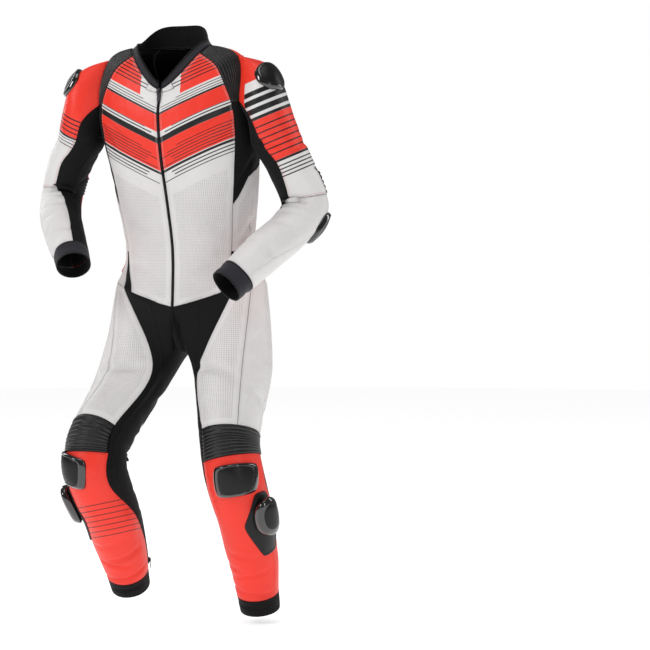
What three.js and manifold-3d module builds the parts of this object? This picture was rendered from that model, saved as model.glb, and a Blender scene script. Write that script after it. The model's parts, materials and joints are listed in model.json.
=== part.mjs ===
// One-piece motorcycle race suit, filled out as it is worn, with no wearer.
// Units are millimetres. +Z is up, the front faces -Y and the wearer's left is +X.
// The origin is the middle of the neck at the height of the shoulders, where the wearer carries it.
// The cloth is one skin of panels that share their seam points. Each panel is a wall of its own.
import Module from "manifold-3d";
import * as THREE from "three";
import { mergeVertices } from "three/addons/utils/BufferGeometryUtils.js";

const WALL = 3; // leather with its lining
const SEAM_GAP = 0.3;
const ZIP_HALF = 6;
const RIB_HEIGHT = 2.6;
const LOW_RIB_HEIGHT = 1.8;

const RAD = Math.PI / 180;
const SIDES = [1, -1]; // the wearer's left and right
const SIDE_NAME = { 1: "left", "-1": "right" };

// A smooth value through a list, at a fractional place in it.
function smooth(values, place) {
  const last = values.length - 1;
  const i = Math.min(Math.max(Math.floor(place), 0), last - 1);
  const t = place - i;
  const at = (n) => values[Math.min(Math.max(n, 0), last)];
  const [a, b, c, d] = [at(i - 1), at(i), at(i + 1), at(i + 2)];
  return b + 0.5 * t * (c - a + t * (2 * a - 5 * b + 4 * c - d + t * (3 * (b - c) + d - a)));
}

// A straight-line value through a list, at a fractional place in it.
function straight(values, place) {
  const i = Math.min(Math.max(Math.floor(place), 0), values.length - 2);
  return values[i] + (values[i + 1] - values[i]) * (place - i);
}

// Every named column of a table at a fractional row.
function rowAt(table, place) {
  const row = {};
  for (const key of Object.keys(table[0])) {
    if (key !== "name") row[key] = smooth(table.map((r) => r[key]), place);
  }
  return row;
}

// Torso rings from the hip seam to the neck seam. zFront, zSide and zBack are the ring's heights,
// x and y its middle, half its half width, fore and aft its depths, square its corner power,
// and vee and flat say how the height runs from the side to the front and to the back.
const TORSO_RINGS = [
  { name: "hip", zFront: -592, zSide: -530, zBack: -614, x: 6, y: 92, half: 192, fore: 112, aft: 124,
    square: 2.2, vee: 1.1, flat: 3 },
  { name: "belt", zFront: -560, zSide: -506, zBack: -573, x: 7, y: 90, half: 180, fore: 109, aft: 118,
    square: 2.2, vee: 1.4, flat: 3.5 },
  { name: "waist", zFront: -450, zSide: -462, zBack: -397, x: 10, y: 80, half: 163, fore: 106, aft: 98,
    square: 2.3, vee: 2, flat: 3.5 },
  { name: "ribs", zFront: -340, zSide: -330, zBack: -300, x: 8, y: 68, half: 178, fore: 120, aft: 103,
    square: 2.3, vee: 2, flat: 2 },
  { name: "chest", zFront: -215, zSide: -192, zBack: -200, x: 3, y: 50, half: 197, fore: 130, aft: 112,
    square: 2.3, vee: 2, flat: 2 },
  { name: "yoke", zFront: -135, zSide: -95, zBack: -100, x: 0, y: 36, half: 206, fore: 120, aft: 112,
    square: 2.3, vee: 2, flat: 2 },
  { name: "shoulder", zFront: -94, zSide: 10, zBack: 0, x: 0, y: 16, half: 170, fore: 92, aft: 88,
    square: 2.2, vee: 2, flat: 2 },
  { name: "neck", zFront: -74, zSide: 34, zBack: 38, x: 0, y: 0, half: 102, fore: 74, aft: 74, square: 2,
    vee: 1.5, flat: 2 },
];
const HUMP = { height: 26, spread: 34, level: 5.1, reach: 1.5 };

// Collar rings above the neck seam.
const COLLAR_RINGS = [
  { name: "seam", zFront: -74, zSide: 34, zBack: 38, x: 0, y: 0, half: 102, fore: 74, aft: 74, square: 2,
    vee: 1.5, flat: 2 },
  { name: "stand", zFront: -68, zSide: 40, zBack: 62, x: 0, y: -1, half: 93, fore: 73, aft: 72, square: 2,
    vee: 1.3, flat: 3 },
  { name: "edge", zFront: -61, zSide: 44, zBack: 90, x: 0, y: -3, half: 88, fore: 69, aft: 72, square: 2,
    vee: 1.2, flat: 4.5 },
];

const power = (value, exponent) => Math.sign(value) * Math.abs(value) ** exponent;

// A point of a ring at an angle in degrees: 0 is the front, 90 the side named by side, 180 the back.
function ringPoint(ring, side, angle) {
  const s = Math.sin(angle * RAD);
  const c = Math.cos(angle * RAD);
  const front = c > 0;
  const bend = 1 - Math.abs(s) ** (front ? ring.vee : ring.flat);
  return new THREE.Vector3(
    ring.x + side * ring.half * power(s, 2 / ring.square),
    ring.y - (front ? ring.fore : ring.aft) * power(c, 2 / ring.square),
    ring.zSide + ((front ? ring.zFront : ring.zBack) - ring.zSide) * bend,
  );
}

// The angle at which a ring is as wide as the zip.
const zipAngle = (ring) => Math.asin((ZIP_HALF / ring.half) ** (ring.square / 2)) / RAD;

function torsoPoint(side, angle, level) {
  const ring = rowAt(TORSO_RINGS, level);
  const point = ringPoint(ring, side, angle);
  const along = (level - HUMP.level) / HUMP.reach;
  const across = (180 - angle) / HUMP.spread;
  point.y += HUMP.height * Math.exp(-across * across - along * along);
  return point;
}

// Key seams of half the torso, from the centre front round to the centre back. Each row gives the
// angle and the level of every seam where the row crosses it, and the cells up to the next row.
// The zip's own angle comes from its width.
const TORSO_COLUMNS = ["centre", "zip", "front", "gusset", "armFront", "armBack", "back", "hump", "spine"];
const TORSO_CELLS = [1, 4, 1, 3, 2, 2, 2, 2];
const TORSO_ROWS = [
  { name: "hip", cells: 1, angle: [0, 0, 36, 48, 68, 100, 147, 167, 180],
    level: [0, 0, 0, 0, 0, 0, 0, 0, 0] },
  { name: "belt", cells: 4, angle: [0, 0, 42, 51, 70, 98, 147, 167, 180],
    level: [1, 1, 1, 1, 1, 1, 1, 1, 1] },
  { name: "waist", cells: 3, angle: [0, 0, 55, 58, 73, 97, 150, 168, 180],
    level: [2, 2, 2, 2, 2, 2, 2, 2, 2] },
  { name: "flank", cells: 3, angle: [0, 0, 56, 62, 76, 98, 112, 166, 180],
    level: [3, 3, 2.9, 3.02, 3.36, 3.55, 3.6, 3.2, 3] },
  { name: "armpit", cells: 3, angle: [0, 0, 58, 65, 80, 98, 126, 171, 180],
    level: [4, 4, 4, 4.05, 4.15, 4.15, 4.3, 3.75, 3.55] },
  { name: "scye", cells: 4, angle: [0, 0, 54, 57, 62, 107, 137, 158, 180],
    level: [5, 5, 5, 5, 5, 5, 5, 5, 5] },
  { name: "point", cells: 3, angle: [0, 0, 52, 60, 82, 101, 113, 146, 180],
    level: [6, 6, 5.8, 5.9, 6, 5.85, 6.5, 6.2, 6.1] },
  { name: "neck", cells: 0, angle: [0, 0, 60, 66, 86, 98, 104, 142, 180],
    level: [7, 7, 7, 7, 7, 7, 7, 7, 7] },
];

const COLLAR_ROWS = 3;

// Arm rings from the shoulder cap to the end of the cuff. lateral and front are the half widths
// across the arm, away from the body and towards the inside of the elbow. The sleeve's seams and the
// front end of the elbow's ribs are in degrees round the arm: 0 is the inside of the elbow, 90 away
// from the body, 180 the point of the elbow.
const ARM_RINGS = {
  left: [
    { name: "cap", x: 232, y: 14, z: -104, lateral: 80, front: 72, seamFront: -22, ribFront: 60,
      seamBack: 122, seamInner: 240 },
    { name: "upper", x: 257, y: 27, z: -186, lateral: 58, front: 64, seamFront: -12, ribFront: 84,
      seamBack: 148, seamInner: 240 },
    { name: "biceps", x: 286, y: 44, z: -252, lateral: 54, front: 59, seamFront: 0, ribFront: 96,
      seamBack: 165, seamInner: 246 },
    { name: "elbow", x: 315, y: 72, z: -345, lateral: 57, front: 44, seamFront: -34, ribFront: 104,
      seamBack: 176, seamInner: 252 },
    { name: "bend", x: 298, y: 13, z: -408, lateral: 55, front: 46, seamFront: -60, ribFront: 96,
      seamBack: 174, seamInner: 254 },
    { name: "forearm", x: 259, y: -54, z: -460, lateral: 50, front: 50, seamFront: -66, ribFront: 80,
      seamBack: 168, seamInner: 254 },
    { name: "wrist", x: 219, y: -108, z: -514, lateral: 44, front: 45, seamFront: -66, ribFront: 70,
      seamBack: 160, seamInner: 254 },
    { name: "end", x: 199, y: -136, z: -541, lateral: 41, front: 43, seamFront: -66, ribFront: 70,
      seamBack: 160, seamInner: 254 },
  ],
  right: [
    { name: "cap", x: -232, y: 14, z: -104, lateral: 80, front: 72, seamFront: -22, ribFront: 60,
      seamBack: 122, seamInner: 240 },
    { name: "upper", x: -260, y: 23, z: -182, lateral: 57, front: 62, seamFront: -14, ribFront: 84,
      seamBack: 148, seamInner: 240 },
    { name: "biceps", x: -295, y: 32, z: -240, lateral: 52, front: 58, seamFront: -2, ribFront: 96,
      seamBack: 165, seamInner: 246 },
    { name: "elbow", x: -323, y: 41, z: -319, lateral: 52, front: 50, seamFront: -6, ribFront: 104,
      seamBack: 180, seamInner: 256 },
    { name: "bend", x: -299, y: -11, z: -374, lateral: 51, front: 47, seamFront: -30, ribFront: 96,
      seamBack: 176, seamInner: 258 },
    { name: "forearm", x: -262, y: -58, z: -420, lateral: 48, front: 50, seamFront: -34, ribFront: 84,
      seamBack: 170, seamInner: 258 },
    { name: "wrist", x: -224, y: -100, z: -466, lateral: 43, front: 45, seamFront: -28, ribFront: 76,
      seamBack: 164, seamInner: 258 },
    { name: "end", x: -206, y: -122, z: -492, lateral: 41, front: 43, seamFront: -28, ribFront: 76,
      seamBack: 164, seamInner: 258 },
  ],
};
const CAP_AXIS = [0.93, 0.06, -0.36]; // which way the shoulder cap ring faces, x towards its side
const SLEEVE_SEAMS = ["seamFront", "ribFront", "seamBack", "seamInner"];
const SLEEVE_CELLS = [4, 2, 5, 7];
// Rows of the sleeve: the ring where each starts, and the cells up to the next.
const SLEEVE_ROWS = [
  { name: "armhole", place: 0, cells: 6 },
  { name: "rib_top", place: 3.3, cells: 2 },
  { name: "rib_end", place: 3.85, cells: 6 },
  { name: "cuff", place: 7, cells: 1 },
  { name: "end", place: 8, cells: 0 },
];

// Leg rings from the top of the thigh to the hem, as for the arms. twist turns all their seams.
const LEG_RINGS = {
  left: [
    { name: "thigh", x: 116, y: 88, z: -738, lateral: 97, front: 104, twist: 6 },
    { name: "rib_top", x: 134, y: 30, z: -898, lateral: 72, front: 80, twist: 6 },
    { name: "rib_end", x: 148, y: 10, z: -958, lateral: 70, front: 76, twist: 4 },
    { name: "knee", x: 160, y: 14, z: -1018, lateral: 70, front: 74, twist: 0 },
    { name: "calf", x: 169, y: 52, z: -1112, lateral: 67, front: 70, twist: 0 },
    { name: "shin", x: 171, y: 90, z: -1206, lateral: 61, front: 61, twist: 0 },
    { name: "hem", x: 170, y: 122, z: -1294, lateral: 52, front: 52, twist: 0 },
    { name: "end", x: 169, y: 136, z: -1336, lateral: 49, front: 49, twist: 0 },
  ],
  right: [
    { name: "thigh", x: -122, y: 70, z: -738, lateral: 100, front: 106, twist: -8 },
    { name: "rib_top", x: -157, y: -70, z: -898, lateral: 73, front: 80, twist: -4 },
    { name: "rib_end", x: -161, y: -96, z: -948, lateral: 72, front: 77, twist: 0 },
    { name: "knee", x: -158, y: -94, z: -1000, lateral: 72, front: 76, twist: 8 },
    { name: "calf", x: -150, y: -42, z: -1088, lateral: 68, front: 72, twist: 8 },
    { name: "shin", x: -157, y: 24, z: -1178, lateral: 62, front: 62, twist: 4 },
    { name: "hem", x: -165, y: 78, z: -1254, lateral: 53, front: 53, twist: 0 },
    { name: "end", x: -169, y: 104, z: -1294, lateral: 49, front: 49, twist: 0 },
  ],
};
const CROTCH = { z: -712, cells: 6 };
// Angles round the leg of the key seams at each ring, in the torso's order of columns and then
// under the crotch back to the front: 0 is the front, 90 outward, 180 the back, 270 inward.
const LEG_COLUMNS = [...TORSO_COLUMNS, "crotch", "centre"];
const LEG_CELLS = [...TORSO_CELLS, CROTCH.cells / 2, CROTCH.cells / 2];
const LEG_SEAMS = [
  { name: "thigh", angle: [-62, -58, -42, -36, 33, 92, 166, 188, 208, 250, 288] },
  { name: "rib_top", angle: [-72, -68, -54, -48, 34, 92, 162, 186, 206, 246, 282] },
  { name: "rib_end", angle: [-78, -74, -58, -52, 30, 86, 140, 170, 200, 240, 276] },
  { name: "knee", angle: [-86, -82, -64, -58, 18, 70, 104, 150, 192, 236, 268] },
  { name: "calf", angle: [-108, -105, -96, -92, -6, 62, 132, 158, 184, 220, 248] },
  { name: "shin", angle: [-122, -120, -114, -111, -14, 58, 146, 166, 186, 214, 236] },
  { name: "hem", angle: [-122, -120, -115, -112, -16, 58, 150, 169, 188, 216, 236] },
  { name: "end", angle: [-122, -120, -115, -112, -16, 58, 150, 169, 188, 216, 236] },
];
const LEG_ROWS = [
  { name: "hip", place: 0, cells: 4 },
  { name: "thigh", place: 1, cells: 4 },
  { name: "rib_top", place: 2, cells: 2 },
  { name: "rib_end", place: 3, cells: 6 },
  { name: "hem", place: 7, cells: 1 },
  { name: "end", place: 8, cells: 0 },
];

// The places, in cells, where each key row or column falls.
function keyPlaces(cells) {
  const places = [0];
  for (const n of cells) places.push(places.at(-1) + n);
  return places;
}

// The number of the key stretch that holds a cell.
const stretchOf = (places, cell) => places.findIndex((p,
  n) => n + 1 < places.length && cell < places[n + 1]);

// A fractional key place for each grid line of a run of cells.
function gridLines(cells) {
  const lines = [];
  cells.forEach((n, key) => {
    for (let i = 0; i < n; i += 1) lines.push(key + i / n);
  });
  return [...lines, cells.filter((n) => n > 0).length];
}

const torsoColumns = gridLines(TORSO_CELLS);
const torsoRowCells = TORSO_ROWS.slice(0, -1).map((r) => r.cells);
const torsoRows = gridLines(torsoRowCells);

// A net point of the torso: seams run smoothly from row to row and straight from seam to seam.
function torsoNet(side, row, column) {
  const angles = TORSO_COLUMNS.map((_, c) => smooth(TORSO_ROWS.map((r) => r.angle[c]), row));
  const levels = TORSO_COLUMNS.map((_, c) => smooth(TORSO_ROWS.map((r) => r.level[c]), row));
  angles[1] = zipAngle(rowAt(TORSO_RINGS, levels[1]));
  return torsoPoint(side, straight(angles, column), straight(levels, column));
}

const torsoGrid = {};
const collarGrid = {};
for (const side of SIDES) {
  torsoGrid[side] = torsoRows.map((row) => torsoColumns.map((column) => torsoNet(side, row, column)));
  collarGrid[side] = [];
  for (let i = 0; i <= COLLAR_ROWS; i += 1) {
    const ring = rowAt(COLLAR_RINGS, (2 * i) / COLLAR_ROWS);
    const angles = TORSO_ROWS.at(-1).angle.map((angle, c) => (c === 1 ? zipAngle(ring) : angle));
    collarGrid[side].push(torsoColumns.map((column) => ringPoint(ring, side, straight(angles, column))));
  }
  collarGrid[side][0] = torsoGrid[side].at(-1);
}

const columnAt = (name) => keyPlaces(TORSO_CELLS)[TORSO_COLUMNS.indexOf(name)];
const torsoRowAt = (name) => keyPlaces(torsoRowCells)[TORSO_ROWS.findIndex((r) => r.name === name)];

// The armhole as a loop of torso points, from the front notch over the top, down the back and
// under the arm, with a row of torso points just inside it that sets how the sleeve leaves.
function armhole(side) {
  const grid = torsoGrid[side];
  const [front, back] = [columnAt("armFront"), columnAt("armBack")];
  const [low, notch, top] = ["armpit", "scye", "point"].map(torsoRowAt);
  const loop = [];
  for (let i = notch; i < top; i += 1) loop.push(grid[i][front]);
  for (let j = front; j < back; j += 1) loop.push(grid[top][j]);
  for (let i = top; i > low; i -= 1) loop.push(grid[i][back]);
  for (let j = back; j > front; j -= 1) loop.push(grid[low][j]);
  for (let i = low; i < notch; i += 1) loop.push(grid[i][front]);
  return loop;
}

// The frame of a limb's ring: which way the limb runs, and its outward and forward directions.
function limbFrame(rings, side, place, firstAxis) {
  const centre = (t) => {
    const r = rowAt(rings, t);
    return new THREE.Vector3(r.x, r.y, r.z);
  };
  const step = 0.3;
  const last = rings.length - 1;
  const axis = centre(Math.min(place + step, last)).sub(centre(Math.max(place - step, 0))).normalize();
  const start = new THREE.Vector3(side * firstAxis[0], firstAxis[1], firstAxis[2]);
  axis.lerp(start, Math.max(0, 1 - place)).normalize();
  const out = new THREE.Vector3(side, 0, 0);
  out.addScaledVector(axis, -out.dot(axis)).normalize();
  const front = new THREE.Vector3().crossVectors(axis, out).multiplyScalar(side).normalize();
  return { centre: centre(place), out, front };
}

function limbPoint(rings, side, place, angle, firstAxis) {
  const { centre, out, front } = limbFrame(rings, side, place, firstAxis);
  const r = rowAt(rings, place);
  return centre
    .addScaledVector(out, r.lateral * Math.sin(angle * RAD))
    .addScaledVector(front, r.front * Math.cos(angle * RAD));
}

// Grid of a limb that grows out of a loop of points: the loop is row 0 and the rings follow it.
// before gives the point one step back inside the body, so that the surface leaves it smoothly.
function limbGrid(loop, before, rings, side, rows, angles, firstAxis) {
  const lines = gridLines(rows.slice(0,
    -1).map((r) => r.cells)).map((t) => straight(rows.map((r) => r.place), t));
  return lines.map((place) =>
    loop.map((start, k) => {
      if (place >= 2) return limbPoint(rings, side, place - 1, angles(side, place - 1, k), firstAxis);
      const near = (n) => limbPoint(rings, side, n, angles(side, n, k), firstAxis);
      const points = [before(k), start, near(0), near(1), near(2)];
      return new THREE.Vector3(
        smooth(points.map((p) => p.x), place + 1),
        smooth(points.map((p) => p.y), place + 1),
        smooth(points.map((p) => p.z), place + 1),
      );
    }),
  );
}

const sleeveKeys = keyPlaces(SLEEVE_CELLS);
function sleeveAngle(side, place, k) {
  const ring = rowAt(ARM_RINGS[SIDE_NAME[side]], place);
  const keys = SLEEVE_SEAMS.map((seam) => ring[seam]);
  keys.push(keys[0] + 360);
  const stretch = stretchOf(sleeveKeys, k);
  return straight(keys, stretch + (k - sleeveKeys[stretch]) / SLEEVE_CELLS[stretch]);
}

const legKeys = keyPlaces(LEG_CELLS);
function legAngle(side, place, k) {
  const { twist } = rowAt(LEG_RINGS[SIDE_NAME[side]], place);
  const keys = LEG_COLUMNS.map((_, n) => smooth(LEG_SEAMS.map((r) => r.angle[n]), place) + twist);
  const stretch = stretchOf(legKeys, k);
  return straight(keys, stretch + (k - legKeys[stretch]) / LEG_CELLS[stretch]);
}

// The seam under the body, from the centre back to the centre front, without its two ends.
function crotchCurve() {
  const back = torsoGrid[1][0].at(-1);
  const front = torsoGrid[1][0][0];
  const hip = TORSO_RINGS[0];
  const points = [];
  for (let i = 1; i < CROTCH.cells; i += 1) {
    const turn = (Math.PI * i) / CROTCH.cells;
    const end = turn < Math.PI / 2 ? back : front;
    const reach = Math.abs(end.y - hip.y) * Math.cos(turn);
    points.push(new THREE.Vector3(hip.x, hip.y + reach,
      end.z + (CROTCH.z - end.z) * Math.sin(turn) ** 0.8));
  }
  return points;
}

const armGrid = {};
const legGrid = {};
for (const side of SIDES) {
  const name = SIDE_NAME[side];
  const loop = armhole(side);
  const inside = new THREE.Vector3(side * 120, 30, -85);
  const armBefore = (k) => loop[k].clone().lerp(inside, 0.35);
  armGrid[side] = limbGrid(loop, armBefore, ARM_RINGS[name], side, SLEEVE_ROWS, sleeveAngle, CAP_AXIS);

  const hips = torsoGrid[side][0];
  const under = crotchCurve();
  const legLoop = [...hips, ...under];
  const across = 60;
  const legBefore = (k) => {
    if (k < hips.length) return torsoGrid[side][2][k];
    return under[k - hips.length].clone().add(new THREE.Vector3(-side * across, 0, 12));
  };
  legGrid[side] = limbGrid(legLoop, legBefore, LEG_RINGS[name], side, LEG_ROWS, legAngle, [0, 0, -1]);
}

// Which panel a cell belongs to. Ranges are key names, and the first line that fits wins.
const TORSO_PANELS = [
  { panel: "front_zip", columns: ["centre", "zip"], rows: ["hip", "neck"], both: true },
  { panel: "front", columns: ["zip", "front"], rows: ["hip", "neck"] },
  { panel: "crotch", columns: ["front", "gusset"], rows: ["hip", "waist"], both: true },
  { panel: "thigh_outer", columns: ["gusset", "spine"], rows: ["hip", "belt"] },
  { panel: "thigh_outer", columns: ["gusset", "armFront"], rows: ["belt", "waist"] },
  { panel: "lumbar", columns: ["armFront", "spine"], rows: ["belt", "waist"], both: true },
  { panel: "side", columns: ["front", "back"], rows: ["waist", "flank"] },
  { panel: "underarm", columns: ["front", "armFront"], rows: ["flank", "scye"] },
  { panel: "underarm", columns: ["armFront", "armBack"], rows: ["flank", "armpit"] },
  { panel: "shoulder_rib", columns: ["front", "armFront"], rows: ["scye", "neck"] },
  { panel: "", columns: ["armFront", "armBack"], rows: ["armpit", "point"] },
  { panel: "sleeve_top", columns: ["armFront", "armBack"], rows: ["point", "neck"] },
  { panel: "back_mesh", columns: ["armBack", "back"], rows: ["flank", "point"] },
  { panel: "hump", columns: ["hump", "spine"], rows: ["armpit", "neck"], both: true },
  { panel: "back", columns: ["armBack", "spine"], rows: ["waist", "neck"], both: true },
];
const SLEEVE_PANELS = [
  { panel: "cuff", columns: [0, 4], rows: ["cuff", "end"] },
  { panel: "sleeve_inner", columns: [3, 4], rows: ["armhole", "cuff"] },
  { panel: "sleeve_top", columns: [0, 2], rows: ["armhole", "rib_top"] },
  { panel: "sleeve_top", columns: [0, 1], rows: ["rib_top", "rib_end"] },
  { panel: "sleeve_back", columns: [2, 3], rows: ["armhole", "rib_top"] },
  { panel: "elbow_rib", columns: [1, 3], rows: ["rib_top", "rib_end"] },
  { panel: "forearm_top", columns: [0, 2], rows: ["rib_end", "cuff"] },
  { panel: "forearm_back", columns: [2, 3], rows: ["rib_end", "cuff"] },
];
const LEG_PANELS = [
  { panel: "hem", columns: [0, 10], rows: ["hem", "end"] },
  { panel: "thigh_front", columns: [3, 4], rows: ["hip", "rib_top"] },
  { panel: "thigh_outer", columns: [4, 6], rows: ["hip", "rib_top"] },
  { panel: "seat", columns: [6, 9], rows: ["hip", "rib_top"], both: true },
  { panel: "crotch", columns: [0, 10], rows: ["hip", "rib_top"], both: true },
  { panel: "knee_rib", columns: [3, 6], rows: ["rib_top", "rib_end"] },
  { panel: "shin", columns: [3, 6], rows: ["rib_end", "hem"] },
  { panel: "calf", columns: [0, 10], rows: ["rib_top", "hem"] },
];

// The skin: quads with shared points, each with the name of its panel.
const points = [];
const pointIndex = new Map();
const quads = [];

function pointId(p) {
  const key = [p.x, p.y, p.z].map((v) => Math.round(v * 50)).join(",");
  if (!pointIndex.has(key)) {
    pointIndex.set(key, points.length);
    points.push(p.clone());
  }
  return pointIndex.get(key);
}

// Adds a grid to the skin, row by row. turned says that its quads face the other way.
function addGrid(grid, panelOf, turned, closed) {
  const across = grid[0].length - (closed ? 0 : 1);
  for (let i = 0; i + 1 < grid.length; i += 1) {
    for (let j = 0; j < across; j += 1) {
      const panel = panelOf(i, j);
      if (!panel) continue;
      const next = (j + 1) % grid[0].length;
      const corners = [grid[i][j], grid[i][next], grid[i + 1][next], grid[i + 1][j]].map(pointId);
      quads.push({ panel, corners: turned ? corners.reverse() : corners });
    }
  }
}

// A panel finder for a table of panels.
function finder(table, rowNames, rowPlaces, columnIndex, columnPlaces, side) {
  return (i, j) => {
    const row = stretchOf(rowPlaces, i);
    const column = stretchOf(columnPlaces, j);
    const found = table.find(
      (p) =>
        rowNames.indexOf(p.rows[0]) <= row &&
        row < rowNames.indexOf(p.rows[1]) &&
        columnIndex(p.columns[0]) <= column &&
        column < columnIndex(p.columns[1]),
    );
    if (!found || !found.panel) return "";
    return found.both ? found.panel : `${found.panel}_${SIDE_NAME[side]}`;
  };
}

for (const side of SIDES) {
  const right = side < 0;
  const torsoFinder = finder(
    TORSO_PANELS,
    TORSO_ROWS.map((r) => r.name),
    keyPlaces(torsoRowCells),
    (name) => TORSO_COLUMNS.indexOf(name),
    keyPlaces(TORSO_CELLS),
    side,
  );
  addGrid(torsoGrid[side], torsoFinder, right, false);
  addGrid(collarGrid[side], (i, j) => (j < TORSO_CELLS[0] ? "" : "collar"), right, false);
  const sleeveFinder = finder(
    SLEEVE_PANELS,
    SLEEVE_ROWS.map((r) => r.name),
    keyPlaces(SLEEVE_ROWS.slice(0, -1).map((r) => r.cells)),
    (n) => n,
    sleeveKeys,
    side,
  );
  addGrid(armGrid[side], sleeveFinder, !right, true);
  const legFinder = finder(
    LEG_PANELS,
    LEG_ROWS.map((r) => r.name),
    keyPlaces(LEG_ROWS.slice(0, -1).map((r) => r.cells)),
    (n) => n,
    legKeys,
    side,
  );
  addGrid(legGrid[side], legFinder, !right, true);
}

// One outward direction for each skin point, shared by the panels that meet there.
const normals = points.map(() => new THREE.Vector3());
for (const { corners } of quads) {
  const [a, b, c, d] = corners.map((n) => points[n]);
  const face = new THREE.Vector3().crossVectors(c.clone().sub(a), d.clone().sub(b));
  for (const n of corners) normals[n].add(face);
}
for (const n of normals) n.normalize();

// The wall of a panel: outer and inner points for each skin point, drawn back from the seams.
function panelWall(name) {
  const faces = quads.filter((q) => q.panel === name).map((q) => q.corners);
  const edges = new Map();
  for (const corners of faces) {
    corners.forEach((from, n) => {
      const to = corners[(n + 1) % 4];
      const twin = `${to}>${from}`;
      if (edges.has(twin)) edges.delete(twin);
      else edges.set(`${from}>${to}`, [from, to]);
    });
  }
  const inward = new Map();
  for (const [from, to] of edges.values()) {
    const along = points[to].clone().sub(points[from]);
    for (const n of [from, to]) {
      const away = new THREE.Vector3().crossVectors(normals[n], along).normalize();
      inward.set(n, [...(inward.get(n) || []), away]);
    }
  }
  const wall = new Map();
  for (const n of new Set(faces.flat())) {
    const outer = points[n].clone();
    const [first, second] = inward.get(n) || [];
    if (second) {
      const share = SEAM_GAP / 2 / Math.max(0.35, 1 + first.dot(second));
      outer.addScaledVector(first.clone().add(second), share);
    }
    wall.set(n, { outer, inner: outer.clone().addScaledVector(normals[n], -WALL) });
  }
  return { faces, edges: [...edges.values()], wall };
}

function meshOf(name, triangles, colour) {
  const geometry = new THREE.BufferGeometry();
  const position = new THREE.Float32BufferAttribute(triangles.flatMap((t) => t.flatMap((p) => p.toArray())),
    3);
  geometry.setAttribute("position", position);
  geometry.computeVertexNormals();
  const material = new THREE.MeshStandardMaterial(colour);
  const mesh = new THREE.Mesh(geometry, material);
  mesh.name = name;
  return mesh;
}

// The cut edge of a wall along one seam stretch. Both panels at a seam fold it along the same
// diagonal, which the order of their shared points decides.
function seamWall(outer, inner, forward) {
  const triangles = [];
  for (let k = 0; k + 1 < outer.length; k += 1) {
    if (forward) triangles.push([outer[0], inner[k], inner[k + 1]], [outer[k], inner.at(-1), outer[k + 1]]);
    else triangles.push([outer[k], inner[0], outer[k + 1]], [inner[k], inner[k + 1], outer.at(-1)]);
  }
  return triangles;
}

function plainPanel(name, colour) {
  const { faces, edges, wall } = panelWall(name);
  const triangles = [];
  const at = (n) => wall.get(n);
  for (const [a, b, c, d] of faces) {
    triangles.push([at(a).outer, at(b).outer, at(c).outer], [at(a).outer, at(c).outer, at(d).outer]);
    triangles.push([at(a).inner, at(c).inner, at(b).inner], [at(a).inner, at(d).inner, at(c).inner]);
  }
  for (const [from, to] of edges) {
    const ends = [at(from), at(to)];
    triangles.push(...seamWall(ends.map((e) => e.outer), ends.map((e) => e.inner), from < to));
  }
  return meshOf(name, triangles, colour);
}

// A panel with raised ribs, from a rectangular grid of its skin points. Ribs run along the grid's
// rows. The finer points lie on the straight lines between the skin's, so the seams still meet.
function ribbedPanel(name, grid, ribs, height, colour) {
  const { wall } = panelWall(name);
  const ids = grid.map((row) => row.map(pointId));
  const steps = ids.length - 1;
  const split = Math.max(1, Math.round((2 * ribs) / steps));
  const lines = [];
  for (let i = 0; i <= steps * split; i += 1) {
    const low = Math.min(Math.floor(i / split), steps - 1);
    const t = i / split - low;
    const row = ids[low].map((id, j) => {
      const [p, q] = [wall.get(id), wall.get(ids[low + 1][j])];
      const raised = i % 2 === 1 && j > 0 && j + 1 < ids[0].length;
      const outer = p.outer.clone().lerp(q.outer, t);
      const inner = p.inner.clone().lerp(q.inner, t);
      if (raised) outer.addScaledVector(outer.clone().sub(inner).normalize(), height);
      return { outer, inner };
    });
    lines.push(row);
  }
  const triangles = [];
  const quad = (a, b, c, d) => triangles.push([a, b, c], [a, c, d]);
  const [m, n] = [lines.length - 1, lines[0].length - 1];
  for (let i = 0; i < m; i += 1) {
    for (let j = 0; j < n; j += 1) {
      const [a, b, c, d] = [lines[i][j], lines[i][j + 1], lines[i + 1][j + 1], lines[i + 1][j]];
      quad(a.outer, b.outer, c.outer, d.outer);
      quad(a.inner, d.inner, c.inner, b.inner);
    }
  }
  const edge = (run, from, to) =>
    triangles.push(...seamWall(run.map((e) => e.outer), run.map((e) => e.inner), from < to));
  for (let j = 0; j < n; j += 1) {
    edge([lines[0][j], lines[0][j + 1]], ids[0][j], ids[0][j + 1]);
    edge([lines[m][j + 1], lines[m][j]], ids[steps][j + 1], ids[steps][j]);
  }
  for (let i = 0; i < steps; i += 1) {
    const stretch = lines.slice(i * split, (i + 1) * split + 1);
    edge(stretch.map((row) => row[n]), ids[i][n], ids[i + 1][n]);
    edge(stretch.map((row) => row[0]).reverse(), ids[i + 1][0], ids[i][0]);
  }
  return meshOf(name, triangles, colour);
}

const WHITE = { color: 0xe4e1e0, roughness: 0.45, metalness: 0 };
const RED = { color: 0xf2392c, roughness: 0.4, metalness: 0 };
const BLACK_LEATHER = { color: 0x232323, roughness: 0.5, metalness: 0 };
const BLACK_STRETCH = { color: 0x0f0f11, roughness: 0.85, metalness: 0 };
const COLLAR_SOFT = { color: 0x2a2830, roughness: 0.9, metalness: 0 };
const HARD_BLACK = { color: 0x111111, roughness: 0.2, metalness: 0 };
const ZIP_BLACK = { color: 0x161616, roughness: 0.5, metalness: 0.2 };
const ZIP_METAL = { color: 0x2b2b2d, roughness: 0.35, metalness: 0.8 };

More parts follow.
